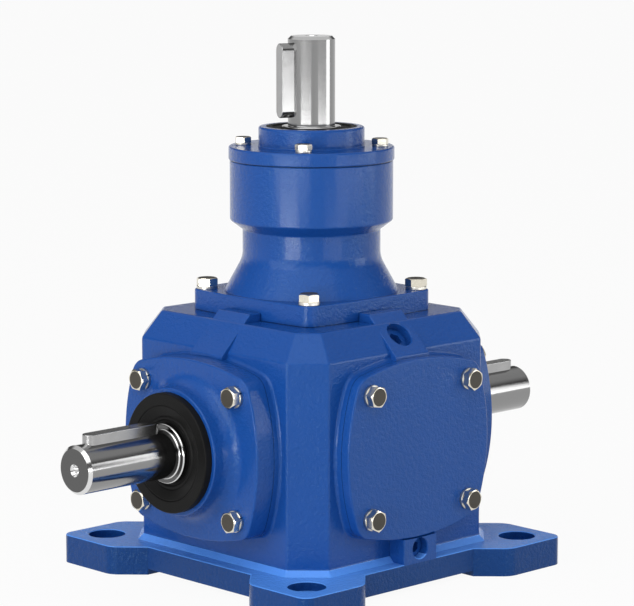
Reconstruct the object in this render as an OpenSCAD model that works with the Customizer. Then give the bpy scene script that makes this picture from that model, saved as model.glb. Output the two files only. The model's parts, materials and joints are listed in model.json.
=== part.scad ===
// Right-angle spiral bevel gearbox: a cubic cast box on four feet, a vertical input shaft in a
// flanged barrel on top, and a horizontal output shaft that comes out on both sides.
// Millimetres. Z runs up along the input shaft, X along the output shaft, and the origin is
// the centre of the feet's underside.

/* [Box] */
// Width of the box across its flat walls
body_w = 182; // [178:1:186]
// Leg of the upright corner chamfers
corner_cut = 19.5; // [16:0.5:22]
// Thickness of the cast walls
wall = 9; // [8.5:0.5:11]
// Height of the machined seat on top of the box
seat_z = 177.3; // [176:0.1:179]
// Height of the output shaft's axis
axis_z = 96; // [95:0.5:97]
// Inward run of the slope below the top seat
slope_run = 13.5; // [11:0.5:15]
// Drop of the slope below the top seat
slope_drop = 17.9; // [15:0.1:19]
// Thickness of the top wall under the seat
top_wall = 14.3; // [13.6:0.1:16]
// Thickness of the cast floor under the oil space
floor_t = 10; // [7:0.5:14]
// How far the wall's foot spreads onto the base
root_band = 3.8; // [2:0.2:5]

/* [Base and feet] */
// How far the base plate stands out from the walls
plate_over = 13.5; // [12.5:0.5:16]
// How far the feet stand out from the base plate
foot_over = 18; // [16:0.5:20]
// Length of each straight side of a foot
foot_side = 53; // [48:1:58]
// Radius of a foot's outer corner
foot_r = 8.2; // [4:0.2:12]
// Height of the base plate's top above the floor
base_t = 19.5; // [18:0.5:20]
// Gap under the base plate between the feet
foot_gap = 4; // [2:0.5:6]
// Distance between the foot holes
foot_pitch = 200; // [196:1:204]
// Diameter of the foot holes
foot_hole_d = 13.5; // [9:0.5:17]
// Diameter of the recess around a foot hole
spot_d = 25; // [22:1:28]
// Depth of the recess around a foot hole
spot_depth = 6; // [1:0.5:9]

/* [Side openings] */
// How far the machined lands stand out from the walls
land_t = 5.5; // [5:0.5:7]
// Half width of the cover outline at its middle
outline_w = 66; // [65:0.5:67]
// Half height of the cover outline at its middle
outline_h = 60; // [59:0.5:60.5]
// Radius of the cover outline's corners
outline_r = 13; // [11.5:0.5:14]
// Half distance between the cover bolts, level
bolt_a = 45.5; // [45:0.25:46.5]
// Half distance between the cover bolts, upright
bolt_b = 41; // [40.5:0.25:42]
// Radius of the round openings in the walls
opening_r = 53.5; // [53.1:0.1:54]
// Thickness of the gaskets and shims
gasket_t = 0.4; // [0.2:0.1:0.8]
// Thickness of the blank covers
cover_t = 6.6; // [5:0.2:8]
// Depth that a blank cover reaches into its opening
spigot_d = 5; // [3:0.5:7]
// Width of a blank cover's spigot ring
spigot_w = 7.5; // [5:0.5:10]

/* [Bearing caps] */
// Thickness of a bearing cap's flange
cap_t = 14.6; // [12:0.2:16]
// Radius of a bearing cap's hub
hub_r = 42.5; // [42:0.5:44]
// How far the hub stands out from the flange
hub_h = 15.5; // [13:0.5:18]
// Radius of the hollow curve at the hub's root
hub_fillet = 10; // [5:0.5:10]
// Thickness of a seal's outer dust flange
dust_t = 5.5; // [4:0.5:7]
// Radius of a seal's outer dust flange
dust_r = 39.8; // [37:0.2:41]
// Depth of the pocket that holds a seal
seal_w = 8; // [7:0.5:9]
// Radius of the pocket that holds a seal
seal_r = 31; // [30:0.5:32]

/* [Input carrier] */
// Half distance between the flange bolts
flange_bolt = 50.25; // [50:0.25:51]
// Radius of the flange's corners
flange_r = 8.5; // [8:0.25:9.5]
// Half width of the flange at its middle
flange_w = 61; // [60.8:0.1:61.6]
// Thickness of the flange
flange_t = 13.5; // [11:0.5:16]
// Radius of the top opening
top_bore_r = 60; // [58:0.5:60]
// Depth that the carrier's spigot reaches into the box
carrier_spigot = 9; // [6:0.5:12]
// Radius of the carrier's flare where it meets the flange
flare_r = 59; // [57:0.5:60]
// Height of the flare
flare_h = 26.3; // [20:0.5:30]
// Radius of the neck
neck_r = 46.8; // [45.6:0.2:49]
// Height of the neck
neck_h = 15.3; // [12:0.5:18]
// Height of the chamfer under the barrel
barrel_chamfer = 6.4; // [4:0.2:9]
// Radius of the barrel
barrel_r = 55.3; // [53.5:0.1:57]
// Height of the barrel above its chamfer
barrel_h = 40.3; // [38.5:0.1:44]
// Radius of the carrier's foot around the lower bearing
carrier_foot_r = 48; // [46:0.5:52]
// Height of the lip under the lower bearing
carrier_lip = 4; // [3:0.5:5]

/* [Input cap] */
// How far the input cap's rim stands out from the barrel
in_cap_over = 0.8; // [0.2:0.1:2]
// Thickness of the input cap's rim
in_cap_t = 9; // [7:0.5:11]
// Radius of the input cap's hub
in_hub_r = 35.9; // [35:0.1:38]
// Height of the input cap's hub
in_hub_h = 13.3; // [12:0.1:16]
// How far the input cap's bolts stand in from the middle of the barrel's wall
in_bolt_in = 1.15; // [0:0.05:1.6]
// Direction of the input cap's first bolt
in_bolt_turn = 39.7; // [15:0.1:75]

/* [Bearings] */
// Bore of the tapered roller bearings
brg_d = 40; // [38:0.5:41]
// Outer diameter of the tapered roller bearings
brg_od = 80; // [79:0.5:81]
// Width of the tapered roller bearings
brg_w = 19.75; // [19.25:0.25:21]
// Number of rollers in a bearing
rollers = 15; // [12:1:16]
// Distance from the middle to the inner face of an output bearing
out_brg_x = 85; // [84:0.5:87]
// Height of the upper input bearing's lower face
in_brg_hi = 250; // [246:0.5:252]
// Height of the lower input bearing's upper face
in_brg_lo = 177.75; // [177:0.25:180]
// Running gap between rollers and rings
roller_gap = 0.05; // [0.03:0.01:0.08]

/* [Shafts and keys] */
// Diameter of the three shaft ends
shaft_d = 32; // [28:1:35]
// Diameter of the output shaft under the pinion
waist_d = 46; // [44:1:48]
// Diameter of the output shaft's collar
collar_d = 54; // [52:0.5:55]
// Width of the output shaft's collar
collar_w = 10; // [8:0.5:11]
// Diameter of the output shaft's gear seat
gear_seat_d = 44; // [43:0.5:45]
// Diameter of the input shaft between its bearings
in_waist_d = 48; // [46:1:54]
// Diameter of the input shaft's pinion seat
pinion_seat_d = 28; // [26:1:29]
// Distance from the middle to each end of the output shaft
out_end = 208.5; // [206:0.5:220]
// Height of the input shaft's top
in_end = 362.9; // [361:0.5:375]
// How far a shaft's shoulder stands out of its seal
shoulder_out = 1.5; // [0.5:0.5:3]
// Chamfer on the shaft ends
end_chamfer = 1.2; // [0.6:0.2:2]
// Radius of the centre holes in the shaft ends
centre_r = 3.6; // [2.5:0.1:5]
// Width of the shaft end keys
key_w = 10; // [8:1:12]
// Depth of the shaft end keyways
key_in = 5; // [4:0.5:6]
// How far the shaft end keys stand out
key_out = 8; // [5:0.5:9]
// Length of the output keys
out_key_l = 63; // [50:1:64]
// Distance from the output shaft's end to its key
out_key_back = 5.5; // [4:0.5:7]
// Length of the input key
in_key_l = 50; // [40:1:51]
// Distance from the input shaft's end to its key
in_key_back = 4.6; // [3.6:0.2:6]
// Direction that the input key faces
in_key_turn = 162; // [0:1:359]

/* [Gears] */
// Teeth of the pinion
pinion_teeth = 16; // [16:1:16]
// Teeth of the crown gear
gear_teeth = 24; // [24:1:24]
// Module at the outer end of the teeth
tooth_module = 4.2; // [4.1:0.02:4.24]
// Face width of the teeth
face_w = 18; // [15:0.5:18]
// Spiral angle at the middle of the teeth
spiral = 35; // [20:1:36]
// Play between the tooth flanks
backlash = 0.4; // [0.3:0.05:0.6]
// Radius of the crown gear's hub
gear_hub_r = 32; // [31:0.5:32]
// Distance from the middle to the crown gear's inner face
gear_x = 19; // [18.5:0.5:20]
// Length of the crown gear's hub
gear_l = 35; // [32:0.5:38]
// Thickness of the disc behind the crown gear's teeth
gear_disc_t = 6; // [4:0.5:9]
// Height of the pinion's hub over the bearing's bore, as a share of the bearing's section
pinion_hub_share = 0.3; // [0.2:0.05:0.35]
// Width of the key under the crown gear
gear_key_w = 12; // [10:1:12]
// Length of the key under the crown gear
gear_key_l = 27; // [22:1:30]
// Width of the key under the pinion
pinion_key_w = 8; // [6:1:8]
// Length of the key under the pinion
pinion_key_l = 20; // [16:1:22]
// Thickness of the plate that holds the pinion
plate_t = 4; // [3:0.5:5]
// Radius of the plate that holds the pinion
plate_r = 18; // [15:0.5:18.5]
// Wall of the spacer between the crown gear and its bearing
spacer_w = 4; // [3:0.5:5]

/* [Fasteners] */
// Thread diameter of the cover and flange bolts
bolt_d = 8; // [7:0.5:8]
// Width across flats of the cover and flange bolts
bolt_af = 13; // [12:0.5:13]
// Thread diameter of the input cap bolts
small_bolt_d = 6; // [5:0.5:6]
// Width across flats of the input cap bolts
small_bolt_af = 10; // [9:0.5:10]
// Gap around a bolt in its clearance hole
bolt_gap = 0.35; // [0.2:0.05:0.5]
// Depth that the bolts reach into the castings
bolt_grip = 11.5; // [8:0.5:12]

/* [Oil plugs] */
// Half width of the cast pads
pad_w = 15.5; // [13:0.5:18]
// Height of the top pads above the seat
pad_rise = 5.7; // [4:0.1:7]
// Level run of the top pads' slopes
pad_run = 25.3; // [24.5:0.1:26.5]
// Radius of the filler plug
filler_r = 9.2; // [8:0.1:10]
// Height of the filler plug's centre on its pad
filler_z = 170; // [169:0.5:171]
// Depth of the filler plug in its pad
filler_depth = 6; // [3:0.5:6]
// Radius of the drain plug
drain_r = 7; // [6:0.1:7.2]
// Height of the drain plug's centre
drain_z = 28.5; // [28:0.25:29]
// Depth of the drain plug in its pad
drain_depth = 6; // [3:0.5:7]
// Length of both plugs
plug_l = 8; // [6:0.5:10]

/* [Hidden] */
$fn = 96;
side_steps = 16;
corner_steps = 8;

// Box
half = body_w / 2;
corner_half = (body_w - corner_cut) / sqrt(2);
slope_z = seat_z - slope_drop;
plate = half + plate_over;
foot = plate + foot_over;
foot_in = foot - foot_side - foot_over;
land_x = half + land_t;
pad_top_d = land_x - pad_run;
land_low = half - wall / 2;
cavity_bottom = foot_gap + floor_t;
cavity_top = seat_z - top_wall;
inner_shift = wall * sqrt(slope_run * slope_run + slope_drop * slope_drop) / slope_drop;
inner_slope_z = slope_z - (inner_shift - wall) * slope_drop / slope_run;
inner_run = (seat_z - inner_slope_z) * slope_run / slope_drop;
past = 1;

// Fits
slide_gap = 0.05;
seat_gap = 0.02;
turn_gap = 0.1;
pad_gap = 0.3;
thread_gap = 0.05;
tap_past = 1.5;

// Side covers and caps, measured outwards from the middle
seat_x = land_x + gasket_t;
cover_x = seat_x + cover_t;
cap_x = seat_x + cap_t;
hub_x = cap_x + hub_h;
dust_x = hub_x + dust_t;
out_shoulder = dust_x + shoulder_out;

// Bearings, along their own axis from the wide face of the inner ring
section = (brg_od - brg_d) / 2;
ring_w = brg_w - 1.75;
cup_w = brg_w - 3.75;
cup_front = brg_w - cup_w;
cup_lip = 0.16 * section;
cup_angle = 14;
apex = cup_front + (brg_od / 2 - cup_lip) / tan(cup_angle);
race_share = 0.2472;
race_angle = atan((brg_d / 2 + race_share * section) / (apex - brg_w / 2));
roller_angle = (cup_angle - race_angle) / 2;
roller_tilt = cup_angle - roller_angle;
wide_rib = 3.7;
wide_rib_rise = 0.18 * section;
small_rib = brg_w - cup_front;
small_rib_rise = 0.045 * section;
roller_lo = 5.1;
roller_hi = brg_w - 3.35;
cage_lo = 3.2;
cage_hi = brg_w - 1.35;
cage_wall = 1.2;
pocket_gap = 0.25;
cap_foot = out_brg_x + cup_front - past;
relief = 1;
lip_r = brg_od / 2 - 7;

// Input stack, measured upwards
carrier_z = seat_z + gasket_t;
flange_z = carrier_z + flange_t;
neck_z = flange_z + flare_h;
chamfer_z = neck_z + neck_h;
barrel_z = chamfer_z + barrel_chamfer;
barrel_top = barrel_z + barrel_h;
in_cap_r = barrel_r + in_cap_over;
in_bolt_r = (brg_od / 2 + barrel_r) / 2 - in_bolt_in;
in_cap_z = barrel_top + gasket_t;
in_rim_z = in_cap_z + in_cap_t;
in_hub_z = in_rim_z + in_hub_h;
in_shoulder = in_hub_z + shoulder_out;
lower_back = in_brg_lo - brg_w;
upper_back = in_brg_hi + brg_w;

// Gears, from the point where both axes cross
pinion_cone = atan(pinion_teeth / gear_teeth);
gear_cone = 90 - pinion_cone;
cone_r = tooth_module * gear_teeth / 2 / sin(gear_cone);
inner_r = cone_r - face_w;
mean_r = cone_r - face_w / 2;
pressure = 20;
root_share = 1.25;
root_turn = root_share * tooth_module / cone_r * 180 / PI;
tooth_steps = 5;
flank_steps = 4;
fillet_share = 0.3;
twist = tan(spiral) / sin(pinion_cone) * 180 / PI;
pinion_top = cone_r * cos(pinion_cone - root_turn);
pinion_foot = inner_r * cos(pinion_cone - root_turn);
gear_top = cone_r * cos(gear_cone - root_turn);
gear_foot = inner_r * cos(gear_cone - root_turn);
pinion_neck_r = inner_r * sin(pinion_cone - root_turn) - 0.5;
gear_disc_r = cone_r * sin(gear_cone - root_turn) - 1;
pinion_hub_r = brg_d / 2 + pinion_hub_share * section;
pinion_back = in_brg_lo - ring_w;
plate_z = axis_z + pinion_foot;
shaft_foot = plate_z + 0.6;
inner_key_in = 0.11;
inner_key_out = 0.075;
pinion_key_top = pinion_seat_d * (0.5 + inner_key_out) + turn_gap;
gear_key_top = gear_seat_d * (0.5 + inner_key_out) + turn_gap;
gear_disc_x = gear_top + gear_disc_t;

// Fasteners
head_h = 0.66;
washer_h = 0.275;
washer_w = 1.8;
washer_slit = 1;
socket_share = 0.55;
cap_bolts_n = 4;
cover_bolts_at = [for (i = [-1, 1], j = [-1, 1]) [i * bolt_a, j * bolt_b]];
flange_bolts_at = [for (i = [-1, 1], j = [-1, 1]) [i * flange_bolt, j * flange_bolt]];
cap_bolts_at = [for (k = [1:cap_bolts_n]) let (t = in_bolt_turn + 360 * k / cap_bolts_n)
    in_bolt_r * [cos(t), sin(t)]];

module paint() { color([0.17, 0.31, 0.61]) children(); }
module steel() { color([0.75, 0.76, 0.78]) children(); }
module zinc() { color([0.78, 0.77, 0.7]) children(); }
module rubber() { color([0.09, 0.09, 0.09]) children(); }
module paper() { color([0.2, 0.32, 0.55]) children(); }
module brass() { color([0.72, 0.58, 0.3]) children(); }

// Each of these places a shape, drawn growing along +Z, so that it grows outwards from the
// middle of the box towards one wall.
module on_front() { translate([0, 0, axis_z]) rotate([90, 0, 0]) children(); }
module on_rear() { translate([0, 0, axis_z]) rotate([90, 0, 180]) children(); }
module on_left() { translate([0, 0, axis_z]) rotate([90, 0, -90]) children(); }
module on_right() { translate([0, 0, axis_z]) rotate([90, 0, 90]) children(); }
module on_ramp() {
    translate([0, filler_z - pad_top_d - seat_z - pad_rise, filler_z]) rotate([45, 0, 0]) children();
}

// Octagon with flat sides at distance a and corner sides at distance c.
module octagon(a, c) {
    k = c * sqrt(2) - a;
    polygon([[a, -k], [a, k], [k, a], [-k, a], [-a, k], [-a, -k], [-k, -a], [k, -a]]);
}

// What the eight slopes take off an octagonal block: each side stays whole below z0 and
// leans in by run up to z1.
module slopes(a, c, z0, z1, run) {
    rise = z1 + body_w - z0;
    lean = rise * run / (z1 - z0);
    for (k = [0:7]) {
        d = k % 2 == 0 ? a : c;
        rotate([0, 0, 45 * k]) rotate([90, 0, 0]) translate([0, z0, -body_w])
            linear_extrude(2 * body_w)
                polygon([[d, 0], [d - lean, rise], [d + body_w, rise], [d + body_w, 0]]);
    }
}

// Points of an arc about c, without its first one.
function arc(c, r, from, to, steps) =
    [for (i = [1:steps]) let (t = from + (to - from) * i / steps) c + r * [cos(t), sin(t)]];

// Rounded square whose sides and corners are arcs that run into each other: w and h are its
// half sizes, and its corners of radius r are centred at a and b.
module bulged(w, h, a, b, r) {
    side_r = ((w - a) * (w - a) + b * b - r * r) / (2 * (w - a - r));
    top_r = ((h - b) * (h - b) + a * a - r * r) / (2 * (h - b - r));
    side = [w - side_r, 0];
    top = [0, h - top_r];
    from = atan2(b, a - side.x);
    to = atan2(b - top.y, a);
    polygon(concat(
        arc(side, side_r, -from, from, side_steps),
        arc([a, b], r, from, to, corner_steps),
        arc(top, top_r, to, 180 - to, side_steps),
        arc([-a, b], r, 180 - to, 180 - from, corner_steps),
        arc(-side, side_r, 180 - from, 180 + from, side_steps),
        arc([-a, -b], r, 180 + from, 180 + to, corner_steps),
        arc(-top, top_r, 180 + to, 360 - to, side_steps),
        arc([a, -b], r, -to, -from, corner_steps)));
}

module cover_outline(gap = 0) {
    bulged(outline_w + gap, outline_h + gap, bolt_a, bolt_b, outline_r + gap);
}

module flange_outline() { bulged(flange_w, flange_w, flange_bolt, flange_bolt, flange_r); }

module drill(at, r, z, depth) {
    for (p = at) translate([p.x, p.y, z - depth]) cylinder(h = depth + past, r = r);
}

module foot_shape() {
    corner = foot - foot_r;
    polygon([[foot_in, foot_in], [plate, foot_in], [foot, foot - foot_side], [foot, corner],
        [corner, foot], [foot - foot_side, foot], [foot_in, plate]]);
    translate([corner, corner]) circle(foot_r);
}

module top_pad() {
    low = axis_z + outline_h - outline_r / 4;
    top = seat_z + pad_rise;
    inner = flange_w + pad_gap;
    translate([-pad_w, 0, 0]) rotate([90, 0, 90]) linear_extrude(2 * pad_w)
        polygon([[-inner, cavity_top + past], [-inner, top], [-pad_top_d, top],
            [-land_x, top + pad_top_d - land_x], [-land_x, low], [-land_low, low],
            [-land_low, cavity_top + past]]);
}

module drain_pad() {
    low = base_t - past - axis_z;
    high = outline_r - outline_h;
    on_front() {
        translate([-pad_w, low, land_low]) cube([2 * pad_w, high - low, land_x - land_low]);
        translate([0, 0, half]) linear_extrude(plate - half) difference() {
            translate([-pad_w, low]) square([2 * pad_w, high - low]);
            cover_outline(pad_gap);
        }
    }
}

module land() { translate([0, 0, land_low]) linear_extrude(land_x - land_low) cover_outline(); }

module box_solid() {
    difference() {
        translate([0, 0, foot_gap]) linear_extrude(seat_z - foot_gap) octagon(half, corner_half);
        slopes(half, corner_half, slope_z, seat_z, slope_run);
    }
    difference() {
        translate([0, 0, foot_gap]) linear_extrude(base_t + root_band - foot_gap)
            octagon(half + root_band, corner_half + root_band);
        slopes(half + root_band, corner_half + root_band, base_t, base_t + root_band, root_band);
    }
    translate([-plate, -plate, foot_gap]) cube([2 * plate, 2 * plate, base_t - foot_gap]);
    for (i = [0, 1], j = [0, 1]) mirror([i, 0, 0]) mirror([0, j, 0]) linear_extrude(base_t) foot_shape();
    for (k = [0:3]) rotate([0, 0, 90 * k]) {
        on_front() land();
        top_pad();
    }
    drain_pad();
}

module wall_opening() {
    translate([0, 0, half - wall - past]) cylinder(h = land_t + wall + 2 * past, r = opening_r);
    drill(cover_bolts_at, bolt_d / 2 + thread_gap, land_x, bolt_grip + tap_past);
}

module housing() {
    paint() difference() {
        box_solid();
        difference() {
            translate([0, 0, cavity_bottom]) linear_extrude(cavity_top - cavity_bottom)
                octagon(half - wall, corner_half - wall);
            slopes(half - wall, corner_half - wall, inner_slope_z, seat_z, inner_run);
        }
        for (k = [0:3]) rotate([0, 0, 90 * k]) on_front() wall_opening();
        translate([0, 0, cavity_top - past]) cylinder(h = top_wall + 2 * past, r = top_bore_r);
        drill(flange_bolts_at, bolt_d / 2 + thread_gap, seat_z, bolt_grip + tap_past);
        for (i = [-1, 1], j = [-1, 1]) translate([i * foot_pitch / 2, j * foot_pitch / 2, 0]) {
            translate([0, 0, -past]) cylinder(h = base_t + 2 * past, d = foot_hole_d);
            translate([0, 0, base_t - spot_depth]) cylinder(h = spot_depth + past, d = spot_d);
        }
        on_ramp() translate([0, 0, -top_wall - plug_l])
            cylinder(h = top_wall + plug_l + past, r = filler_r);
        on_front() translate([0, drain_z - axis_z, half - wall - past])
            cylinder(h = plate - half + wall + 2 * past, r = drain_r);
    }
}

module blank_cover() {
    paint() difference() {
        union() {
            translate([0, 0, seat_x]) linear_extrude(cover_t) cover_outline();
            translate([0, 0, land_x - spigot_d])
                cylinder(h = spigot_d + cover_t / 2, r = opening_r - turn_gap);
        }
        translate([0, 0, land_x - spigot_d - past])
            cylinder(h = spigot_d + gasket_t + past, r = opening_r - spigot_w);
        drill(cover_bolts_at, bolt_d / 2 + bolt_gap, cover_x, cover_t + past);
    }
}

module side_gasket() {
    difference() {
        translate([0, 0, land_x]) linear_extrude(gasket_t) cover_outline();
        translate([0, 0, land_x - past]) cylinder(h = gasket_t + 2 * past, r = opening_r);
        drill(cover_bolts_at, bolt_d / 2 + bolt_gap, seat_x, gasket_t + past);
    }
}

module bearing_cap() {
    root = hub_r + hub_fillet;
    paint() difference() {
        union() {
            translate([0, 0, seat_x]) linear_extrude(cap_t) cover_outline();
            translate([0, 0, cap_foot]) cylinder(h = seat_x - cap_foot + past, r = opening_r - slide_gap);
            translate([0, 0, cap_x - past]) cylinder(h = hub_h + past, r = hub_r);
            translate([0, 0, cap_x]) rotate_extrude() difference() {
                square([root, hub_fillet]);
                translate([root, hub_fillet]) circle(hub_fillet);
            }
        }
        translate([0, 0, cap_foot - past]) cylinder(h = hub_x - cap_foot + 2 * past, r = seal_r);
        translate([0, 0, cap_foot - past])
            cylinder(h = out_brg_x + brg_w - cap_foot + past, r = brg_od / 2 + seat_gap);
        drill(cover_bolts_at, bolt_d / 2 + bolt_gap, cap_x, cap_t + past);
    }
}

module input_carrier() {
    paint() difference() {
        union() {
            translate([0, 0, carrier_z]) linear_extrude(flange_t) flange_outline();
            translate([0, 0, seat_z - carrier_spigot])
                cylinder(h = carrier_spigot + flange_t / 2, r = top_bore_r - slide_gap);
            rotate_extrude() polygon([[0, lower_back - carrier_lip],
                [carrier_foot_r, lower_back - carrier_lip], [carrier_foot_r, flange_z],
                [flare_r, flange_z], [neck_r, neck_z], [neck_r, chamfer_z],
                [barrel_r, barrel_z], [barrel_r, barrel_top], [0, barrel_top]]);
        }
        translate([0, 0, lower_back - carrier_lip - past]) cylinder(h = barrel_top, r = lip_r);
        translate([0, 0, lower_back]) cylinder(h = barrel_top, r = brg_od / 2 + seat_gap);
        translate([0, 0, in_brg_lo]) cylinder(h = in_brg_hi - in_brg_lo, r = brg_od / 2 + relief);
        drill(flange_bolts_at, bolt_d / 2 + bolt_gap, flange_z, flange_t + past);
        drill(cap_bolts_at, small_bolt_d / 2 + thread_gap, barrel_top, bolt_grip + tap_past);
    }
}

module carrier_gasket() {
    paper() difference() {
        translate([0, 0, seat_z]) linear_extrude(gasket_t) flange_outline();
        translate([0, 0, seat_z - past]) cylinder(h = gasket_t + 2 * past, r = top_bore_r);
        drill(flange_bolts_at, bolt_d / 2 + bolt_gap, carrier_z, gasket_t + past);
    }
}

module input_cap() {
    paint() difference() {
        union() {
            translate([0, 0, in_cap_z]) cylinder(h = in_cap_t, r = in_cap_r);
            translate([0, 0, in_rim_z - past]) cylinder(h = in_hub_h + past, r = in_hub_r);
            translate([0, 0, upper_back])
                cylinder(h = in_cap_z - upper_back + past, r = brg_od / 2 - slide_gap);
        }
        translate([0, 0, upper_back - past]) cylinder(h = in_hub_z - upper_back + 2 * past, r = seal_r);
        drill(cap_bolts_at, small_bolt_d / 2 + bolt_gap, in_rim_z, in_cap_t + past);
    }
}

module input_cap_shims() {
    steel() difference() {
        translate([0, 0, barrel_top]) cylinder(h = gasket_t, r = barrel_r);
        translate([0, 0, barrel_top - past]) cylinder(h = gasket_t + 2 * past, d = brg_od);
        drill(cap_bolts_at, small_bolt_d / 2 + bolt_gap, in_cap_z, gasket_t + past);
    }
}

// Lip seal whose sleeve sits in the cap's pocket and whose dust flange covers the hub.
module output_seal() {
    lip = brg_d / 2 + turn_gap;
    dish = (dust_r - lip) / 5;
    round = 0.8;
    rubber() rotate_extrude() polygon([[lip, hub_x - seal_w], [seal_r - seat_gap, hub_x - seal_w],
        [seal_r - seat_gap, hub_x], [dust_r, hub_x], [dust_r, dust_x - round],
        [dust_r - round, dust_x], [dust_r - 2 * dish, dust_x], [lip + dish, dust_x - dust_t / 2],
        [lip, dust_x - dust_t / 2 - round / 2]]);
}

module input_seal() {
    lip = brg_d / 2 + turn_gap;
    rim = 4;
    sink = 0.8;
    rubber() rotate_extrude() polygon([[lip, in_hub_z - seal_w],
        [seal_r - seat_gap, in_hub_z - seal_w], [seal_r - seat_gap, in_hub_z],
        [seal_r - rim, in_hub_z], [seal_r - rim - sink, in_hub_z - sink],
        [lip + 2 * sink, in_hub_z - sink], [lip, in_hub_z]]);
}

function race_r(z, angle) = (apex - z) * tan(angle);

module inner_ring() {
    bore = brg_d / 2 + seat_gap;
    wide = race_r(wide_rib, race_angle);
    small = race_r(small_rib, race_angle);
    steel() rotate_extrude() polygon([[bore, 0], [wide + wide_rib_rise, 0],
        [wide + wide_rib_rise, wide_rib], [wide, wide_rib], [small, small_rib],
        [small + small_rib_rise, small_rib], [small + small_rib_rise, ring_w], [bore, ring_w]]);
}

module outer_ring() {
    steel() rotate_extrude() polygon([[brg_od / 2, cup_front], [brg_od / 2, brg_w],
        [race_r(brg_w, cup_angle), brg_w], [race_r(cup_front, cup_angle), cup_front]]);
}

// Tapered rollers whose cones meet the races' cones at one apex; grow adds to their radius.
module roller_set(grow = -roller_gap, longer = 0) {
    big = (apex - roller_lo) / cos(roller_tilt) + longer;
    small = (apex - roller_hi) / cos(roller_tilt) - longer;
    big_r = big * tan(roller_angle) + grow;
    small_r = small * tan(roller_angle) + grow;
    steel() for (k = [0:rollers - 1]) rotate([0, 0, 360 * k / rollers]) translate([0, 0, apex])
        rotate([0, -roller_tilt, 0]) translate([0, 0, -big])
            cylinder(h = big - small, r1 = big_r, r2 = small_r);
}

module cage_ring() {
    lo = race_r(cage_lo, roller_tilt);
    hi = race_r(cage_hi, roller_tilt);
    side = cage_wall / 2;
    steel() difference() {
        rotate_extrude() polygon([[lo - side, cage_lo], [lo + side, cage_lo],
            [hi + side, cage_hi], [hi - side, cage_hi]]);
        roller_set(pocket_gap, pocket_gap);
    }
}

module at_upper() { translate([0, 0, in_brg_hi]) children(); }
module at_lower() { translate([0, 0, in_brg_lo]) rotate([180, 0, 0]) children(); }
module at_left() { on_left() translate([0, 0, out_brg_x]) children(); }
module at_right() { on_right() translate([0, 0, out_brg_x]) children(); }

// Hexagon bolts, seated on their spring washers at height z and pointing down.
module bolt_set(at, d, af, z, reach) {
    under = washer_h * d;
    zinc() for (p = at) translate([p.x, p.y, z]) {
        translate([0, 0, -reach]) cylinder(h = reach + under + past, d = d);
        translate([0, 0, under]) cylinder(h = head_h * d, d = af / cos(30), $fn = 6);
    }
}

module washer_set(at, d, z) {
    zinc() for (p = at) translate([p.x, p.y, z]) difference() {
        cylinder(h = washer_h * d, d = washer_w * d);
        translate([0, 0, -past]) cylinder(h = washer_h * d + 2 * past, d = d + 2 * turn_gap);
        rotate([0, 0, 30]) translate([0, -washer_slit / 2, -past]) cube([washer_w * d, washer_slit, d]);
    }
}

// Bolts and washers of a blank cover, and of a bearing cap.
module cover_bolts() {
    bolt_set(cover_bolts_at, bolt_d, bolt_af, cover_x, cover_t + gasket_t + bolt_grip);
}
module cover_washers() { washer_set(cover_bolts_at, bolt_d, cover_x); }
module cap_bolts() {
    bolt_set(cover_bolts_at, bolt_d, bolt_af, cap_x, cap_t + gasket_t + bolt_grip);
}
module cap_washers() { washer_set(cover_bolts_at, bolt_d, cap_x); }

// Plug with a hexagon socket, its outer face at height 0.
module socket_plug(r) {
    brass() difference() {
        translate([0, 0, -plug_l]) cylinder(h = plug_l, r = r - thread_gap);
        translate([0, 0, -socket_share * plug_l]) cylinder(h = plug_l, r = socket_share * r, $fn = 6);
    }
}

// Key with round ends, along X, that stands on the plane at height 0.
module key_block(l, w, h, gap = 0) {
    linear_extrude(h) {
        square([l - w, w + 2 * gap], center = true);
        for (i = [-1, 1]) translate([i * (l - w) / 2, 0]) circle(d = w + 2 * gap);
    }
}

module out_key(gap = 0) {
    translate([out_end - out_key_back - out_key_l / 2, 0, axis_z + shaft_d / 2 - key_in])
        key_block(out_key_l, key_w, key_in + key_out, gap);
}

module in_key(gap = 0) {
    rotate([0, 0, in_key_turn])
        translate([shaft_d / 2 - key_in, 0, in_end - in_key_back - in_key_l / 2])
            rotate([0, 90, 0]) key_block(in_key_l, key_w, key_in + key_out, gap);
}

module under_pinion_key(gap = 0) {
    translate([pinion_seat_d * (0.5 - inner_key_in), 0, (pinion_back + shaft_foot) / 2])
        rotate([0, 90, 0])
            key_block(pinion_key_l, pinion_key_w,
                pinion_seat_d * (inner_key_in + inner_key_out) + gap, gap);
}

module under_gear_key(gap = 0) {
    translate([gear_x + gear_l / 2, 0, axis_z + gear_seat_d * (0.5 - inner_key_in)])
        key_block(gear_key_l, gear_key_w,
            gear_seat_d * (inner_key_in + inner_key_out) + gap, gap);
}

module centre_hole() {
    translate([0, 0, -centre_r]) cylinder(h = centre_r + past, r1 = 0.01, r2 = centre_r + past);
}

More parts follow.
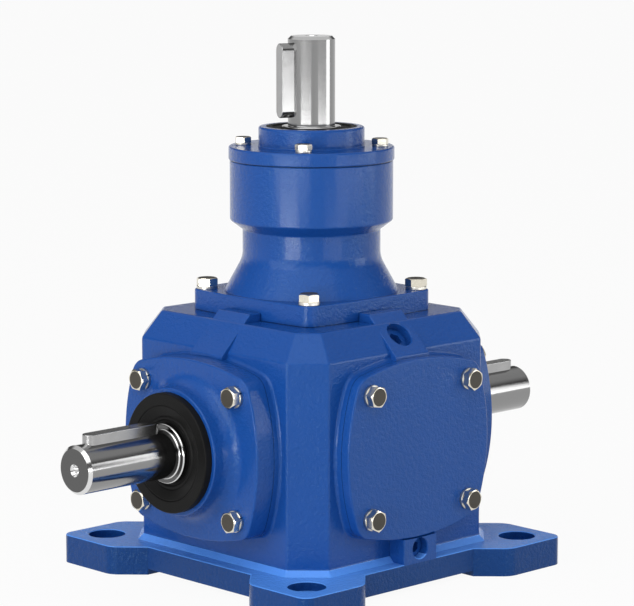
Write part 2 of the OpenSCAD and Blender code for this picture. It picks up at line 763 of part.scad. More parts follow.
module output_shaft() {
    end_r = shaft_d / 2;
    collar_x = gear_x - collar_w;
    steel() difference() {
        translate([0, 0, axis_z]) rotate([0, 90, 0]) rotate_extrude() polygon([
            [0, -out_end], [end_r - end_chamfer, -out_end], [end_r, end_chamfer - out_end],
            [end_r, -out_shoulder], [brg_d / 2, -out_shoulder], [brg_d / 2, -out_brg_x],
            [waist_d / 2, -out_brg_x], [waist_d / 2, collar_x], [collar_d / 2, collar_x],
            [collar_d / 2, gear_x], [gear_seat_d / 2, gear_x], [gear_seat_d / 2, out_brg_x],
            [brg_d / 2, out_brg_x], [brg_d / 2, out_shoulder], [end_r, out_shoulder],
            [end_r, out_end - end_chamfer], [end_r - end_chamfer, out_end], [0, out_end]]);
        out_key(seat_gap);
        mirror([1, 0, 0]) out_key(seat_gap);
        under_gear_key(seat_gap);
        on_left() translate([0, 0, out_end]) centre_hole();
        on_right() translate([0, 0, out_end]) centre_hole();
    }
}

module input_shaft() {
    end_r = shaft_d / 2;
    steel() difference() {
        rotate_extrude() polygon([[0, shaft_foot], [pinion_seat_d / 2, shaft_foot],
            [pinion_seat_d / 2, pinion_back], [brg_d / 2, pinion_back], [brg_d / 2, in_brg_lo],
            [in_waist_d / 2, in_brg_lo], [in_waist_d / 2, in_brg_hi], [brg_d / 2, in_brg_hi],
            [brg_d / 2, in_shoulder], [end_r, in_shoulder], [end_r, in_end - end_chamfer],
            [end_r - end_chamfer, in_end], [0, in_end]]);
        in_key(seat_gap);
        under_pinion_key(seat_gap);
        translate([0, 0, shaft_foot - past])
            cylinder(h = 2 * bolt_grip + past, r = bolt_d / 2 + thread_gap);
        translate([0, 0, in_end]) centre_hole();
    }
}

// Half the angle that a tooth takes up at radius rho on its flattened back cone of radius rv,
// in degrees. The flank is an involute, and below its base circle it widens into the root.
function involute(a) = tan(a) * 180 / PI - a;
function half_tooth(rho, rv, r) =
    let (base = rv * cos(pressure), a = acos(min(1, base / rho)),
        t = (PI * tooth_module - backlash) / 4 * r / cone_r + fillet_share * max(0, base - rho))
    t / rv * 180 / PI + involute(pressure) - involute(a);

// One ring of points where the toothed surface cuts the sphere of radius r.
function tooth_ring(teeth, cone, r, turn) =
    let (rv = r * tan(cone), m = tooth_module * r / cone_r, deep = (1 + root_share) * m)
    [for (k = [0:teeth - 1], side = [-1, 1], j = [0:flank_steps])
        let (rise = side < 0 ? j / flank_steps : 1 - j / flank_steps,
            rho = rv - root_share * m + deep * rise,
            polar = cone + (rho - rv) / r * 180 / PI,
            around = (k + 0.5) * 360 / teeth + side * half_tooth(rho, rv, r) / cos(cone) + turn)
        r * [sin(polar) * cos(around), sin(polar) * sin(around), cos(polar)]];

// Rings of plain points [radius, height]: one in the directions of another ring, and one in
// n even directions, whose bore steps out to a keyway of width w and top h that faces key.
function same_ring(ring, p) = [for (q = ring) let (t = atan2(q.y, q.x))
    [p[0] * cos(t), p[0] * sin(t), p[1]]];
function even_ring(n, start, p) = [for (k = [0:n - 1]) let (t = start + 360 * k / n)
    [p[0] * cos(t), p[0] * sin(t), p[1]]];
function bore_ring(n, start, p, key, w, h) = [for (k = [0:n - 1])
    let (t = start + 360 * k / n, c = cos(t - key), step = 2 * PI * h / n,
        r = c > 0 && abs(h * tan(t - key)) <= w / 2 + step ? h / c : p[0])
    [r * cos(t), r * sin(t), p[1]]];

// Bevel gear whose cone has its tip at the origin and opens along +Z. Its plain outline is a
// list of [radius, height]: the front face's rim, what lies before and after the teeth, and
// the rear face's rim.
module bevel_gear(teeth, cone, share, phase, front, before, after, rear, bore, key, key_w, key_h) {
    n = teeth * 2 * (flank_steps + 1);
    sections = [for (s = [0:tooth_steps]) let (r = inner_r + face_w * s / tooth_steps)
        tooth_ring(teeth, cone, r, phase + share * twist * ln(r / mean_r))];
    first = sections[0];
    last = sections[tooth_steps];
    start = atan2(first[0].y, first[0].x);
    shift = round(share * twist * ln(cone_r / inner_r) * n / 360);
    end = start + 360 * shift / n;
    rings = concat(
        [bore_ring(n, start, [bore, front[1]], key, key_w, key_h), even_ring(n, start, front)],
        [for (p = before) same_ring(first, p)], sections, [for (p = after) same_ring(last, p)],
        [even_ring(n, end, rear), bore_ring(n, end, [bore, rear[1]], key, key_w, key_h)]);
    top = (len(rings) - 1) * n;
    sides = [for (s = [0:len(rings) - 2], k = [0:n - 1])
        let (a = s * n + k, b = s * n + (k + 1) % n) each [[a, a + n, b + n], [a, b + n, b]]];
    wall = [for (k = [0:n - 1]) let (a = (k + shift + n) % n, b = (k + 1) % n, c = (b + shift + n) % n)
        each [[top + k, a, c], [top + k, c, top + b]]];
    polyhedron(points = [for (ring = rings) each ring], faces = concat(sides, wall), convexity = 6);
}

module pinion() {
    steel() translate([0, 0, axis_z])
        bevel_gear(pinion_teeth, pinion_cone, 1, 180 / pinion_teeth,
            [pinion_neck_r - past, pinion_foot], [[pinion_neck_r, pinion_foot]],
            [[pinion_hub_r, pinion_top]], [pinion_hub_r, pinion_back - axis_z],
            pinion_seat_d / 2 + thread_gap, 0, pinion_key_w, pinion_key_top);
}

module crown_gear() {
    steel() translate([0, 0, axis_z]) rotate([0, 90, 0])
        bevel_gear(gear_teeth, gear_cone, -pinion_teeth / gear_teeth, 0,
            [gear_hub_r, gear_x], [[gear_hub_r, gear_foot]],
            [[gear_disc_r, gear_top], [gear_disc_r, gear_disc_x], [gear_hub_r, gear_disc_x]],
            [gear_hub_r, gear_x + gear_l],
            gear_seat_d / 2 + thread_gap, 180, gear_key_w, gear_key_top);
}

module gear_spacer() {
    spacer_x = gear_x + gear_l;
    steel() translate([spacer_x, 0, axis_z]) rotate([0, 90, 0]) difference() {
        cylinder(h = out_brg_x - spacer_x, r = gear_seat_d / 2 + spacer_w);
        translate([0, 0, -past]) cylinder(h = out_brg_x, r = gear_seat_d / 2 + turn_gap);
    }
}

module end_plate() {
    steel() difference() {
        translate([0, 0, plate_z - plate_t]) cylinder(h = plate_t, r = plate_r);
        translate([0, 0, plate_z - plate_t - past])
            cylinder(h = plate_t + 2 * past, r = bolt_d / 2 + bolt_gap);
    }
}

module end_bolt() {
    zinc() translate([0, 0, plate_z - plate_t]) {
        cylinder(h = plate_t + 2 * bolt_grip - past, d = bolt_d);
        translate([0, 0, -head_h * bolt_d]) cylinder(h = head_h * bolt_d, d = bolt_af / cos(30), $fn = 6);
    }
}

module filler_plug() { on_ramp() translate([0, 0, -filler_depth]) socket_plug(filler_r); }
module drain_plug() {
    on_front() translate([0, drain_z - axis_z, plate - drain_depth]) socket_plug(drain_r);
}

housing();
on_front() blank_cover();  // front_cover
on_rear() blank_cover();  // rear_cover
paper() on_front() side_gasket();  // front_gasket
paper() on_rear() side_gasket();  // rear_gasket
on_left() bearing_cap();  // left_cap
on_right() bearing_cap();  // right_cap
steel() on_left() side_gasket();  // left_shims
steel() on_right() side_gasket();  // right_shims
input_carrier();
carrier_gasket();
input_cap();
input_cap_shims();
input_seal();
on_left() output_seal();  // left_seal
on_right() output_seal();  // right_seal
at_upper() outer_ring();  // upper_cup
at_lower() outer_ring();  // lower_cup
at_left() outer_ring();  // left_cup
at_right() outer_ring();  // right_cup
on_front() cover_bolts();  // front_cover_bolts
on_rear() cover_bolts();  // rear_cover_bolts
on_left() cap_bolts();  // left_cap_bolts
on_right() cap_bolts();  // right_cap_bolts
bolt_set(flange_bolts_at, bolt_d, bolt_af, flange_z, flange_t + gasket_t + bolt_grip);  // carrier_bolts
bolt_set(cap_bolts_at, small_bolt_d, small_bolt_af, in_rim_z, in_cap_t + gasket_t + bolt_grip);  // input_cap_bolts
on_front() cover_washers();  // front_cover_washers
on_rear() cover_washers();  // rear_cover_washers
on_left() cap_washers();  // left_cap_washers
on_right() cap_washers();  // right_cap_washers
washer_set(flange_bolts_at, bolt_d, flange_z);  // carrier_washers
washer_set(cap_bolts_at, small_bolt_d, in_rim_z);  // input_cap_washers
filler_plug();
drain_plug();
output_shaft();
crown_gear();
steel() under_gear_key();  // gear_key
gear_spacer();
at_left() inner_ring();  // left_cone
at_right() inner_ring();  // right_cone
steel() mirror([1, 0, 0]) out_key();  // left_key
steel() out_key();  // right_key
input_shaft();
pinion();
steel() under_pinion_key();  // pinion_key
end_plate();
end_bolt();
steel() in_key();  // input_key
at_upper() inner_ring();  // upper_cone
at_lower() inner_ring();  // lower_cone
at_upper() roller_set();  // upper_rollers
at_lower() roller_set();  // lower_rollers
at_left() roller_set();  // left_rollers
at_right() roller_set();  // right_rollers
at_upper() cage_ring();  // upper_cage
at_lower() cage_ring();  // lower_cage
at_left() cage_ring();  // left_cage
at_right() cage_ring();  // right_cage
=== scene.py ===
# %% [markdown]
# # A right-angle gearbox in cast iron, dressed around its CAD model
#
# The CAD model is loaded first, as a fixed frame. Its pieces already turn on the right bodies, so
# Blender only has to give them their looks. The castings get new meshes with the small roundings
# that foundries and paint leave on every edge, and the bolts, seals, keys and shafts get theirs.

# %% Load the frame
import json
import math

import bmesh
import bpy
from mathutils import Matrix, Vector

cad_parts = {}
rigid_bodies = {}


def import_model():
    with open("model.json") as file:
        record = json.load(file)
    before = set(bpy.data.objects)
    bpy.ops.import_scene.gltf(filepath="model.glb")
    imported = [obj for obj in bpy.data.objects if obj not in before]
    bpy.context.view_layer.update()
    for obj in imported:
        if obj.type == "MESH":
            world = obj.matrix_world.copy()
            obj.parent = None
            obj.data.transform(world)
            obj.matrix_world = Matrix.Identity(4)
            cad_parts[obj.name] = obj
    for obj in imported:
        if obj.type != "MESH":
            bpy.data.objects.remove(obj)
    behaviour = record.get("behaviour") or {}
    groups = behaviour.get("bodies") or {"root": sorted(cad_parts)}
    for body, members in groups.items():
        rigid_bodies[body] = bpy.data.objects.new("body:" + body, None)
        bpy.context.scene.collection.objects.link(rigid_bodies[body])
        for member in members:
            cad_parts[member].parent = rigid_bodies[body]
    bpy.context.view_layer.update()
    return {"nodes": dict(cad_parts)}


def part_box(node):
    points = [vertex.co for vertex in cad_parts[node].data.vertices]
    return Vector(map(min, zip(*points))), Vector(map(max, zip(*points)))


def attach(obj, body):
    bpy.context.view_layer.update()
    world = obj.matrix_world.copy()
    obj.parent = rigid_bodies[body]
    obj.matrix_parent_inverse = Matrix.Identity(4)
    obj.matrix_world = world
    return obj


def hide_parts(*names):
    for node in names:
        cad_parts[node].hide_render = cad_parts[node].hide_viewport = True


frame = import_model()
nodes = frame["nodes"]

# %% [markdown]
# ## The camera
#
# The picture was taken with a long lens from a little above the base, looking at one upright
# corner of the box. The angles were found by matching the bolts and edges of the CAD model with
# the picture. The camera looks along its own -Z, so its three axes are written down directly.

# %% Camera
MM = 0.001
AZIMUTH = math.radians(-43.88)
ELEVATION = math.radians(8.89)
DISTANCE = 1905.7
AIM_HEIGHT = 181.2
SIDE_STEP = 3.73
LENS = 158.8

right = Vector((math.cos(AZIMUTH), math.sin(AZIMUTH), 0))
back = Vector((math.sin(AZIMUTH) * math.cos(ELEVATION), -math.cos(AZIMUTH) * math.cos(ELEVATION),
               math.sin(ELEVATION)))
up = back.cross(right)
eye = Vector((0, 0, AIM_HEIGHT)) + right * SIDE_STEP + back * DISTANCE

camera = bpy.data.objects.new("camera", bpy.data.cameras.new("camera"))
bpy.context.scene.collection.objects.link(camera)
camera.data.sensor_fit = "HORIZONTAL"
camera.data.lens = LENS
camera.matrix_world = Matrix.Translation(eye * MM) @ Matrix((right, up, back)).transposed().to_4x4()
bpy.context.scene.camera = camera
print("camera at", [round(x, 3) for x in camera.matrix_world.translation])

# %% [markdown]
# ## Sizes
#
# These are the sizes of the CAD model, in millimetres, because the workshop drawing of a gearbox
# would give them so. Heights run up from the feet. The four sides have the same openings, so what
# closes them is drawn once, growing along +Z from the middle of the box, and is then turned.

# %% Sizes of the box
AXIS_Z = 96.0
HALF = 91.0
CORNER_HALF = 114.905
SEAT_Z = 177.3
SLOPE_Z = 159.4
SLOPE_RUN = 13.5
ROOT = 3.8
WALL = 9.0
BASE_TOP = 19.5
PLATE = 104.5
FOOT = 122.5
FOOT_IN = 51.5
FOOT_SIDE = 53.0
FOOT_CORNER = 8.2
FOOT_SHOULDER = 5.0
FOOT_GAP = 4.0
FOOT_HOLE_AT = [(i * 100, j * 100) for i in (-1, 1) for j in (-1, 1)]
LAND_X = 96.5
GASKET = 0.4
SEAT_X = LAND_X + GASKET
COVER_X = SEAT_X + 6.6
CAP_X = SEAT_X + 14.6
OPENING_R = 53.5
BEARING_R = 40.02   # the bores for the outer rings
SEAL_R = 31         # the bores for the seals
BOLT_AT = [(i * 45.5, j * 41.0) for i in (-1, 1) for j in (-1, 1)]
FLANGE_BOLT_AT = [(i * 50.25, j * 50.25) for i in (-1, 1) for j in (-1, 1)]
SIDES = {"front": 0, "right": 90, "rear": 180, "left": -90}
print("sides:", list(SIDES))

# %% [markdown]
# ## Tools for modelling
#
# A bmesh is Blender's editable mesh in Python. Six small helpers carry the whole job: one draws
# a closed outline out of arcs, one skins a shell through such outlines, one extrudes, one turns a
# profile as a lathe does, one rounds edges, and one joins or cuts shells with Blender's exact
# Boolean. The alternative, sculpting the castings or remeshing a union of blocks, would give soft
# corners too, but would lose the flat machined faces.

# %% Outlines and shells
EDGE = 0.9          # rounding that paint and a file leave on an outer edge
EDGE_STEPS = 3
BENT = 0.2          # radians: faces that meet at more are not part of one curve
STEEP = 0.5         # radians: and at more than this, a side meets a top


def spun(degrees, axis):
    return Matrix.Rotation(math.radians(degrees), 4, axis)


def place_on(side, height=AXIS_Z):
    """The turn that takes a shape drawn along +Z to one side of the box."""
    return Matrix.Translation((0, 0, height)) @ spun(SIDES[side], "Z") @ spun(90, "X")


def arc_loop(bm, arcs, z):
    """Closed loop of edges. Each arc is (centre, first point, angle, steps), drawn by a spin."""
    start = bm.verts.new((*arcs[0][1], z))
    tip = start
    for centre, _, angle, steps in arcs:
        made = bmesh.ops.spin(bm, geom=[tip], cent=(*centre, z), axis=(0, 0, 1), dvec=(0, 0, 0),
                              angle=angle, steps=steps, use_merge=False, use_duplicate=False)
        tip = next(g for g in made["geom_last"] if isinstance(g, bmesh.types.BMVert))
    bmesh.ops.weld_verts(bm, targetmap={tip: start})
    loop, edge, corner = [], start.link_edges[0], start
    while edge is not None and edge not in loop:
        loop.append(edge)
        corner = edge.other_vert(corner)
        edge = next((e for e in corner.link_edges if e not in loop), None)
    return loop


def bulged(w, h, a, b, r):
    """Arcs of a rounded square with bulging sides: w and h are its half sizes, and its corners of
    radius r are centred at a and b."""
    side_r = ((w - a) ** 2 + b ** 2 - r ** 2) / (2 * (w - a - r))
    top_r = ((h - b) ** 2 + a ** 2 - r ** 2) / (2 * (h - b - r))
    lean = math.atan2(b, a - (w - side_r))
    rise = math.atan2(b - (h - top_r), a)
    sweeps = (2 * lean, rise - lean, math.pi - 2 * rise, rise - lean) * 2
    middles = ((w - side_r, 0), (a, b), (0, h - top_r), (-a, b),
               (side_r - w, 0), (-a, -b), (0, top_r - h), (a, -b))
    steps = (16, 8) * 4
    first = (w - side_r + side_r * math.cos(lean), -side_r * math.sin(lean))
    return [(m, first, s, n) for m, s, n in zip(middles, sweeps, steps)]


def cover_arcs(grow=0.0):
    return bulged(66 + grow, 60 + grow, 45.5, 41, 13 + grow)


def flange_arcs(grow=0.0):
    return bulged(61 + grow, 61 + grow, 50.25, 50.25, 8.5 + grow)


def close_shell(bm, loops):
    """Bridges the loops one after another, and caps the two ends."""
    for low, high in zip(loops, loops[1:]):
        bmesh.ops.bridge_loops(bm, edges=low + high)
    for end in (loops[0], loops[-1]):
        bmesh.ops.contextual_create(bm, geom=end)
    bmesh.ops.recalc_face_normals(bm, faces=bm.faces)
    return bm


def skin(sections):
    """Closed shell through sections, each a list of arcs and a height."""
    bm = bmesh.new()
    return close_shell(bm, [arc_loop(bm, arcs, z) for arcs, z in sections])


def extrude(bm, faces, way):
    made = bmesh.ops.extrude_face_region(bm, geom=faces, use_keep_orig=True)
    fresh = [g for g in made["geom"] if isinstance(g, bmesh.types.BMVert)]
    bmesh.ops.translate(bm, verts=fresh, vec=way)
    bmesh.ops.recalc_face_normals(bm, faces=bm.faces)


def round_edges(bm, width, chosen, steps=EDGE_STEPS):
    """Rounds the edges that the test chosen(edge) picks."""
    edges = [e for e in bm.edges if chosen(e)]
    bmesh.ops.bevel(bm, geom=edges, offset=width, offset_type="OFFSET", segments=steps, profile=0.5,
                    affect="EDGES", clamp_overlap=True, material=-1)
    return bm


def corner_angle(edge):
    return edge.calc_face_angle(0.0)


def at_height(edge, z):
    return all(abs(v.co.z - z) < 1e-4 for v in edge.verts)


print("rounding:", EDGE, "mm in", EDGE_STEPS, "steps")

# %% Turning and cutting
ROUND_STEPS = 5


def turned(profile, rounds=None, steps=144):
    """A piece from the lathe. profile lists (radius, height) around its cross section, and rounds
    gives the width of the rounding of some of its corners, by their place in the list."""
    bm = bmesh.new()
    corners = [bm.verts.new((r, 0, z)) for r, z in profile]
    bm.faces.new(corners)
    for index, width in (rounds or {}).items():
        bmesh.ops.bevel(bm, geom=[corners[index]], offset=width, offset_type="OFFSET",
                        segments=ROUND_STEPS, profile=0.5, affect="VERTICES", material=-1)
    bmesh.ops.delete(bm, geom=bm.faces[:], context="FACES_ONLY")
    on_axis = [e for e in bm.edges if all(v.co.x < 1e-6 for v in e.verts)]
    bmesh.ops.delete(bm, geom=on_axis, context="EDGES")
    bmesh.ops.spin(bm, geom=bm.verts[:] + bm.edges[:], cent=(0, 0, 0), axis=(0, 0, 1),
                   dvec=(0, 0, 0), angle=math.tau, steps=steps, use_merge=True)
    bmesh.ops.remove_doubles(bm, verts=bm.verts, dist=1e-4)
    bmesh.ops.recalc_face_normals(bm, faces=bm.faces)
    return bm


def rod(radius, low, high, x=0.0, y=0.0, sides=64):
    """A plain drill or punch, used only to cut."""
    bm = bmesh.new()
    bmesh.ops.create_cone(bm, cap_ends=True, segments=sides, radius1=radius, radius2=radius,
                          depth=high - low)
    bmesh.ops.translate(bm, verts=bm.verts, vec=(x, y, (low + high) / 2))
    return bm


def holes(radius, low, high, places, sides=24):
    """One drill for each place."""
    return [rod(radius, low, high, x, y, sides) for x, y in places]


def block(low, high):
    """A square block between two corners."""
    bm = bmesh.new()
    bmesh.ops.create_cube(bm, size=1)
    size = [b - a for a, b in zip(low, high)]
    bmesh.ops.scale(bm, vec=size, verts=bm.verts)
    bmesh.ops.translate(bm, verts=bm.verts, vec=[(a + b) / 2 for a, b in zip(low, high)])
    return bm


def moved(bm, turn):
    bmesh.ops.transform(bm, matrix=turn, verts=bm.verts)
    return bm


def as_object(bm):
    mesh = bpy.data.meshes.new("work")
    bm.to_mesh(mesh)
    bm.free()
    return bpy.data.objects.new("work", mesh)


def boolean(bm, tools, operation):
    """bm joined with the tools (UNION), or cut by them (DIFFERENCE or INTERSECT)."""
    bench = bpy.data.collections.new("bench")
    base = as_object(bm)
    bpy.context.scene.collection.objects.link(base)
    for tool in tools:
        bench.objects.link(as_object(tool))
    step = base.modifiers.new("step", "BOOLEAN")
    step.operation = operation
    step.solver = "EXACT"
    step.operand_type = "COLLECTION"
    step.collection = bench
    bpy.context.view_layer.update()
    solved = base.evaluated_get(bpy.context.evaluated_depsgraph_get())
    result = bmesh.new()
    result.from_mesh(solved.data)
    for obj in [base, *bench.objects]:
        mesh = obj.data
        bpy.data.objects.remove(obj)
        bpy.data.meshes.remove(mesh)
    bpy.data.collections.remove(bench)
    return result


def joined(bm, *tools):
    return boolean(bm, tools, "UNION")


def cut(bm, *tools):
    return boolean(bm, tools, "DIFFERENCE")


print("lathe roundings in", ROUND_STEPS, "steps")

# %% [markdown]
# ## From shell to piece
#
# A finished shell is scaled from millimetres to metres and given to its body, and the CAD node
# that it stands for is hidden. Broad faces are shaded flat and roundings smooth by weighting the
# normals by area, which is what makes the narrow roundings catch the light as a thin bright line.

# %% Finished pieces
SHARP = math.radians(32)
SOFT = math.radians(3)
BROAD = 60.0


def is_sharp(edge):
    """True for a steep edge, and for a shallow one where two broad flat faces meet."""
    angle = corner_angle(edge)
    return angle > SHARP or (angle > SOFT and min(f.calc_area() for f in edge.link_faces) > BROAD)


def make_piece(name, bm, body, replaced, slot, *finishes):
    """Object at the origin with its place in its mesh."""
    for face in bm.faces:
        face.smooth = True
    for edge in bm.edges:
        edge.smooth = not is_sharp(edge)
    bmesh.ops.scale(bm, vec=(MM, MM, MM), verts=bm.verts)
    mesh = bpy.data.meshes.new(name)
    bm.to_mesh(mesh)
    bm.free()
    piece = bpy.data.objects.new(name, mesh)
    bpy.context.scene.collection.objects.link(piece)
    flatten = piece.modifiers.new("flat faces", "WEIGHTED_NORMAL")
    flatten.keep_sharp = True
    flatten.weight = 100
    for finish in finishes:
        mesh.materials.append(finish)
    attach(piece, body)
    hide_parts(replaced)
    print(name, len(mesh.polygons), "faces")


print("edges over", round(math.degrees(SHARP)), "degrees stay sharp")

# %% [markdown]
# ## Finishes
#
# Shader maths is easier to read as an expression than as a chain of nodes. A Wire is an output
# socket with Python's operators, and each operator adds one Math node. A Finish is a material or
# the world, and its method node adds any other node.

# %% Wires and finishes
class Wire:
    """A value in a material. Plus, minus, times, power, less and greater work on it."""

    def __init__(self, finish, socket):
        self.finish, self.socket = finish, socket

    def math(self, operation, *values):
        return self.finish.node("ShaderNodeMath", {"operation": operation}, dict(enumerate(values)))

    def __add__(self, other): return self.math("ADD", self, other)
    def __radd__(self, other): return self.math("ADD", other, self)
    def __sub__(self, other): return self.math("SUBTRACT", self, other)
    def __rsub__(self, other): return self.math("SUBTRACT", other, self)
    def __mul__(self, other): return self.math("MULTIPLY", self, other)
    def __rmul__(self, other): return self.math("MULTIPLY", other, self)
    def __pow__(self, other): return self.math("POWER", self, other)
    def __gt__(self, other): return self.math("GREATER_THAN", self, other)
    def __lt__(self, other): return self.math("LESS_THAN", self, other)


class Finish:
    """The nodes of a material or a world, built one at a time."""

    def __init__(self, owner, kind="ShaderNodeOutputMaterial"):
        self.owner = owner
        owner.use_nodes = True
        self.tree = owner.node_tree
        self.tree.nodes.clear()
        self.output = self.tree.nodes.new(kind)

    def node(self, kind, settings=None, sockets=None, out=0):
        made = self.tree.nodes.new(kind)
        for key, value in (settings or {}).items():
            if key == "stops":
                while len(made.color_ramp.elements) < len(value):
                    made.color_ramp.elements.new(0.5)
                for element, (position, shade) in zip(made.color_ramp.elements, value):
                    element.position = position
                    element.color = shade
            else:
                setattr(made, key, value)
        for key, value in (sockets or {}).items():
            if isinstance(value, Wire):
                self.tree.links.new(value.socket, made.inputs[key])
            else:
                made.inputs[key].default_value = value
        return Wire(self, made.outputs[out])

    def show(self, wire):
        self.tree.links.new(wire.socket, self.output.inputs["Surface"])
        return self.owner


def new_finish(name):
    return Finish(bpy.data.materials.new(name))


def noise(finish, place, scale, detail=2.0):
    """Soft noise with about scale lumps to the metre."""
    return finish.node("ShaderNodeTexNoise", {},
                       {"Vector": place, "Scale": scale, "Detail": detail})


def blend(finish, share, first, second):
    """A colour between two others."""
    return finish.node("ShaderNodeMix", {"data_type": "RGBA"},
                       {0: share, 6: first, 7: second}, out=2)


def component(finish, vector, axis):
    """The part of a vector along "X", "Y" or "Z"."""
    return finish.node("ShaderNodeSeparateXYZ", {}, {0: vector}, out=axis)


def bump(finish, height, depth):
    """A normal from a height of 0 to 1, which is depth metres deep."""
    return finish.node("ShaderNodeBump", {}, {"Height": height, "Distance": depth, "Strength": 1.0})


print("shader tools ready")

# %% [markdown]
# ## Blue enamel
#
# The enamel runs over the castings and the thin joints between them, and the bolts are bare. On
# cast iron it is not mirror smooth: the sand's grain shows through as low lumps some millimetres
# apart, and the paint adds a finer orange peel, which breaks up the highlights. Both are one bump
# map on noise. Most of the gloss is the paint's own and has a cool tint, and a thin coat adds a
# little on top.
#
# Two things depend on the height above the floor. The sides of the base are darker and duller,
# a painted shade, and what faces up from the base is a lighter blue, a painted light from above.
# Both were added to match the tones of the picture.

# %% Enamel
BLUE = (0.010, 0.067, 0.300, 1)
DEEP_BLUE = (0.006, 0.056, 0.258, 1)
PEEL_DEPTH = 0.0009     # metres
# painted shade: the enamel on the sides of the base is darkened towards this colour
BASE_PAINTED_SHADE = (0.002, 0.014, 0.05, 1)
BASE_SHADE_LEVEL = 0.0188    # metres above the floor, with the sides of the base below it
BASE_SHADE_SHARE = 0.4
COAT_LOST = 0.75        # the share of the coat that the painted shade takes away
# painted light: faces that look up from the base are lightened towards this brighter blue, as if
# lit from above
TOP_PAINTED_LIGHT = (0.10, 0.31, 0.86, 1)
TOP_LIGHT_LEVEL = 0.0236     # metres, just above the tops of the feet and the root of the walls
TOP_LIGHT_SHARE = 0.8
TOP_LIGHT_FACING = 0.4       # how much a face has to look up to take the painted light


def enamel(name, light=BLUE, deep=DEEP_BLUE, coat=0.35):
    f = new_finish(name)
    place = f.node("ShaderNodeTexCoord", out="Object")
    level = component(f, place, "Z")
    facing_up = component(f, f.node("ShaderNodeTexCoord", out="Normal"), "Z")
    is_low = level < BASE_SHADE_LEVEL
    # painted light on the faces that look up from the base
    top_light = (level < TOP_LIGHT_LEVEL) * (facing_up > TOP_LIGHT_FACING) * TOP_LIGHT_SHARE
    drift = noise(f, place, 14, 3)
    lumps = noise(f, place, 150, 2)
    peel = noise(f, place, 430, 2)
    fine = noise(f, place, 1300, 1)
    height = lumps * 0.2 + peel * 0.6 + fine * 0.2
    # painted shade on the sides of the base
    paint = blend(f, is_low * BASE_SHADE_SHARE, blend(f, drift, deep, light), BASE_PAINTED_SHADE)
    return f.show(f.node("ShaderNodeBsdfPrincipled", {}, {
        "Base Color": blend(f, top_light, paint, TOP_PAINTED_LIGHT),
        "Roughness": 0.13 + drift * 0.08 + peel * 0.06,
        "Specular IOR Level": 0.17,
        "Specular Tint": (0.65, 1.0, 0.95, 1),
        # the painted shade on the sides of the base also takes most of the coat away
        "Coat Weight": coat - coat * COAT_LOST * is_low,
        "Coat IOR": 1.34,
        "Coat Roughness": 0.14,
        "Normal": bump(f, height, PEEL_DEPTH),
    }))


blue_enamel = enamel("blue_enamel")
# the same enamel darkened, a painted shade for the shadow in the joints between the castings
joint_painted_shade = enamel("joint_painted_shade", (0.002, 0.012, 0.06, 1), (0.001, 0.008, 0.04, 1), 0.05)
print("enamel:", blue_enamel.name, joint_painted_shade.name)

# %% [markdown]
# ## Ground steel
#
# The shaft ends are ground, so the finest marks run around them. On a turned piece a mark is a
# matter of the height along the axis, so a noise of that one number draws every ring at once. The
# flat end is faced on the lathe, and there the marks follow the distance from the axis.
#
# How far a face looks along the axis tells the cylinder, its chamfers and its ends apart. The
# square of it is 0 on the cylinder, a half on a chamfer of 45 degrees and 1 on an end. Each of
# the three has its own shade, because the picture shows dark ends with bright edges: the dark
# ends are a painted dark reflection, and the bright chamfers and roundings a painted highlight.

# %% Steel
ROUND_SHADE = 0.27      # the ground cylinder
END_PAINTED_REFLECTION = 0.12        # the faced ends, darkened as a painted dark reflection
EDGE_PAINTED_HIGHLIGHT = 0.72       # chamfers, roundings and centre holes, lightened as a painted highlight
END_SQUARE = 0.8
EDGE_SQUARE = 0.12
GROUND_ROUGHNESS = 0.07
MARK_DEPTH = 0.000004   # metres


def ground_steel(name, axis, centre=(0, 0, 0)):
    """Steel with fine marks around the axis "X" or "Z" through centre, in metres."""
    f = new_finish(name)
    coord = f.node("ShaderNodeTexCoord", out="Object")
    local = f.node("ShaderNodeMapping", {}, {"Vector": coord, "Location": [-c for c in centre]})
    parts = {k: component(f, local, k) for k in "XYZ"}
    along = parts[axis]
    across = [parts[k] for k in "XYZ" if k != axis]
    radius = (across[0] * across[0] + across[1] * across[1]) ** 0.5
    facing = component(f, f.node("ShaderNodeTexCoord", out="Normal"), axis)
    square = facing * facing
    is_end = square > END_SQUARE
    is_edge = (square > EDGE_SQUARE) - is_end
    # painted light: a highlight on the chamfers and roundings, a dark reflection on the ends
    shade = (ROUND_SHADE + is_edge * (EDGE_PAINTED_HIGHLIGHT - ROUND_SHADE)
             + is_end * (END_PAINTED_REFLECTION - ROUND_SHADE))
    run = along + (radius - along) * is_end
    fine, broad = [f.node("ShaderNodeTexNoise", {"noise_dimensions": "1D"},
                          {"W": run, "Scale": scale, "Detail": 2.0})
                   for scale in (5200.0, 420.0)]
    cloud = noise(f, local, 60, 3)
    return f.show(f.node("ShaderNodeBsdfPrincipled", {}, {
        "Base Color": shade,
        "Metallic": 1.0,
        "Roughness": GROUND_ROUGHNESS + fine * 0.05 + broad * 0.04 + cloud * 0.04,
        "Normal": bump(f, fine * 0.5 + broad * 0.5, MARK_DEPTH),
    }))


shaft_steel = {"output": ground_steel("output_shaft_steel", "X", centre=(0, 0, AXIS_Z * MM)),
               "input": ground_steel("input_shaft_steel", "Z")}
print("steel:", [m.name for m in shaft_steel.values()])

# %% [markdown]
# ## Small parts and what is inside
#
# Zinc plating on the bolts has a warm cast and a cloudy gloss, and the round ends of their heads
# are darkened, a painted dark reflection. Rubber is almost black, with a fine grain. The parts
# inside the box are seen only when someone opens the model, but they still get the finish that
# they have on the bench: oiled gear steel, bright bearing rings and satin pressed cages. One
# helper covers all of these metals, because only the numbers differ.

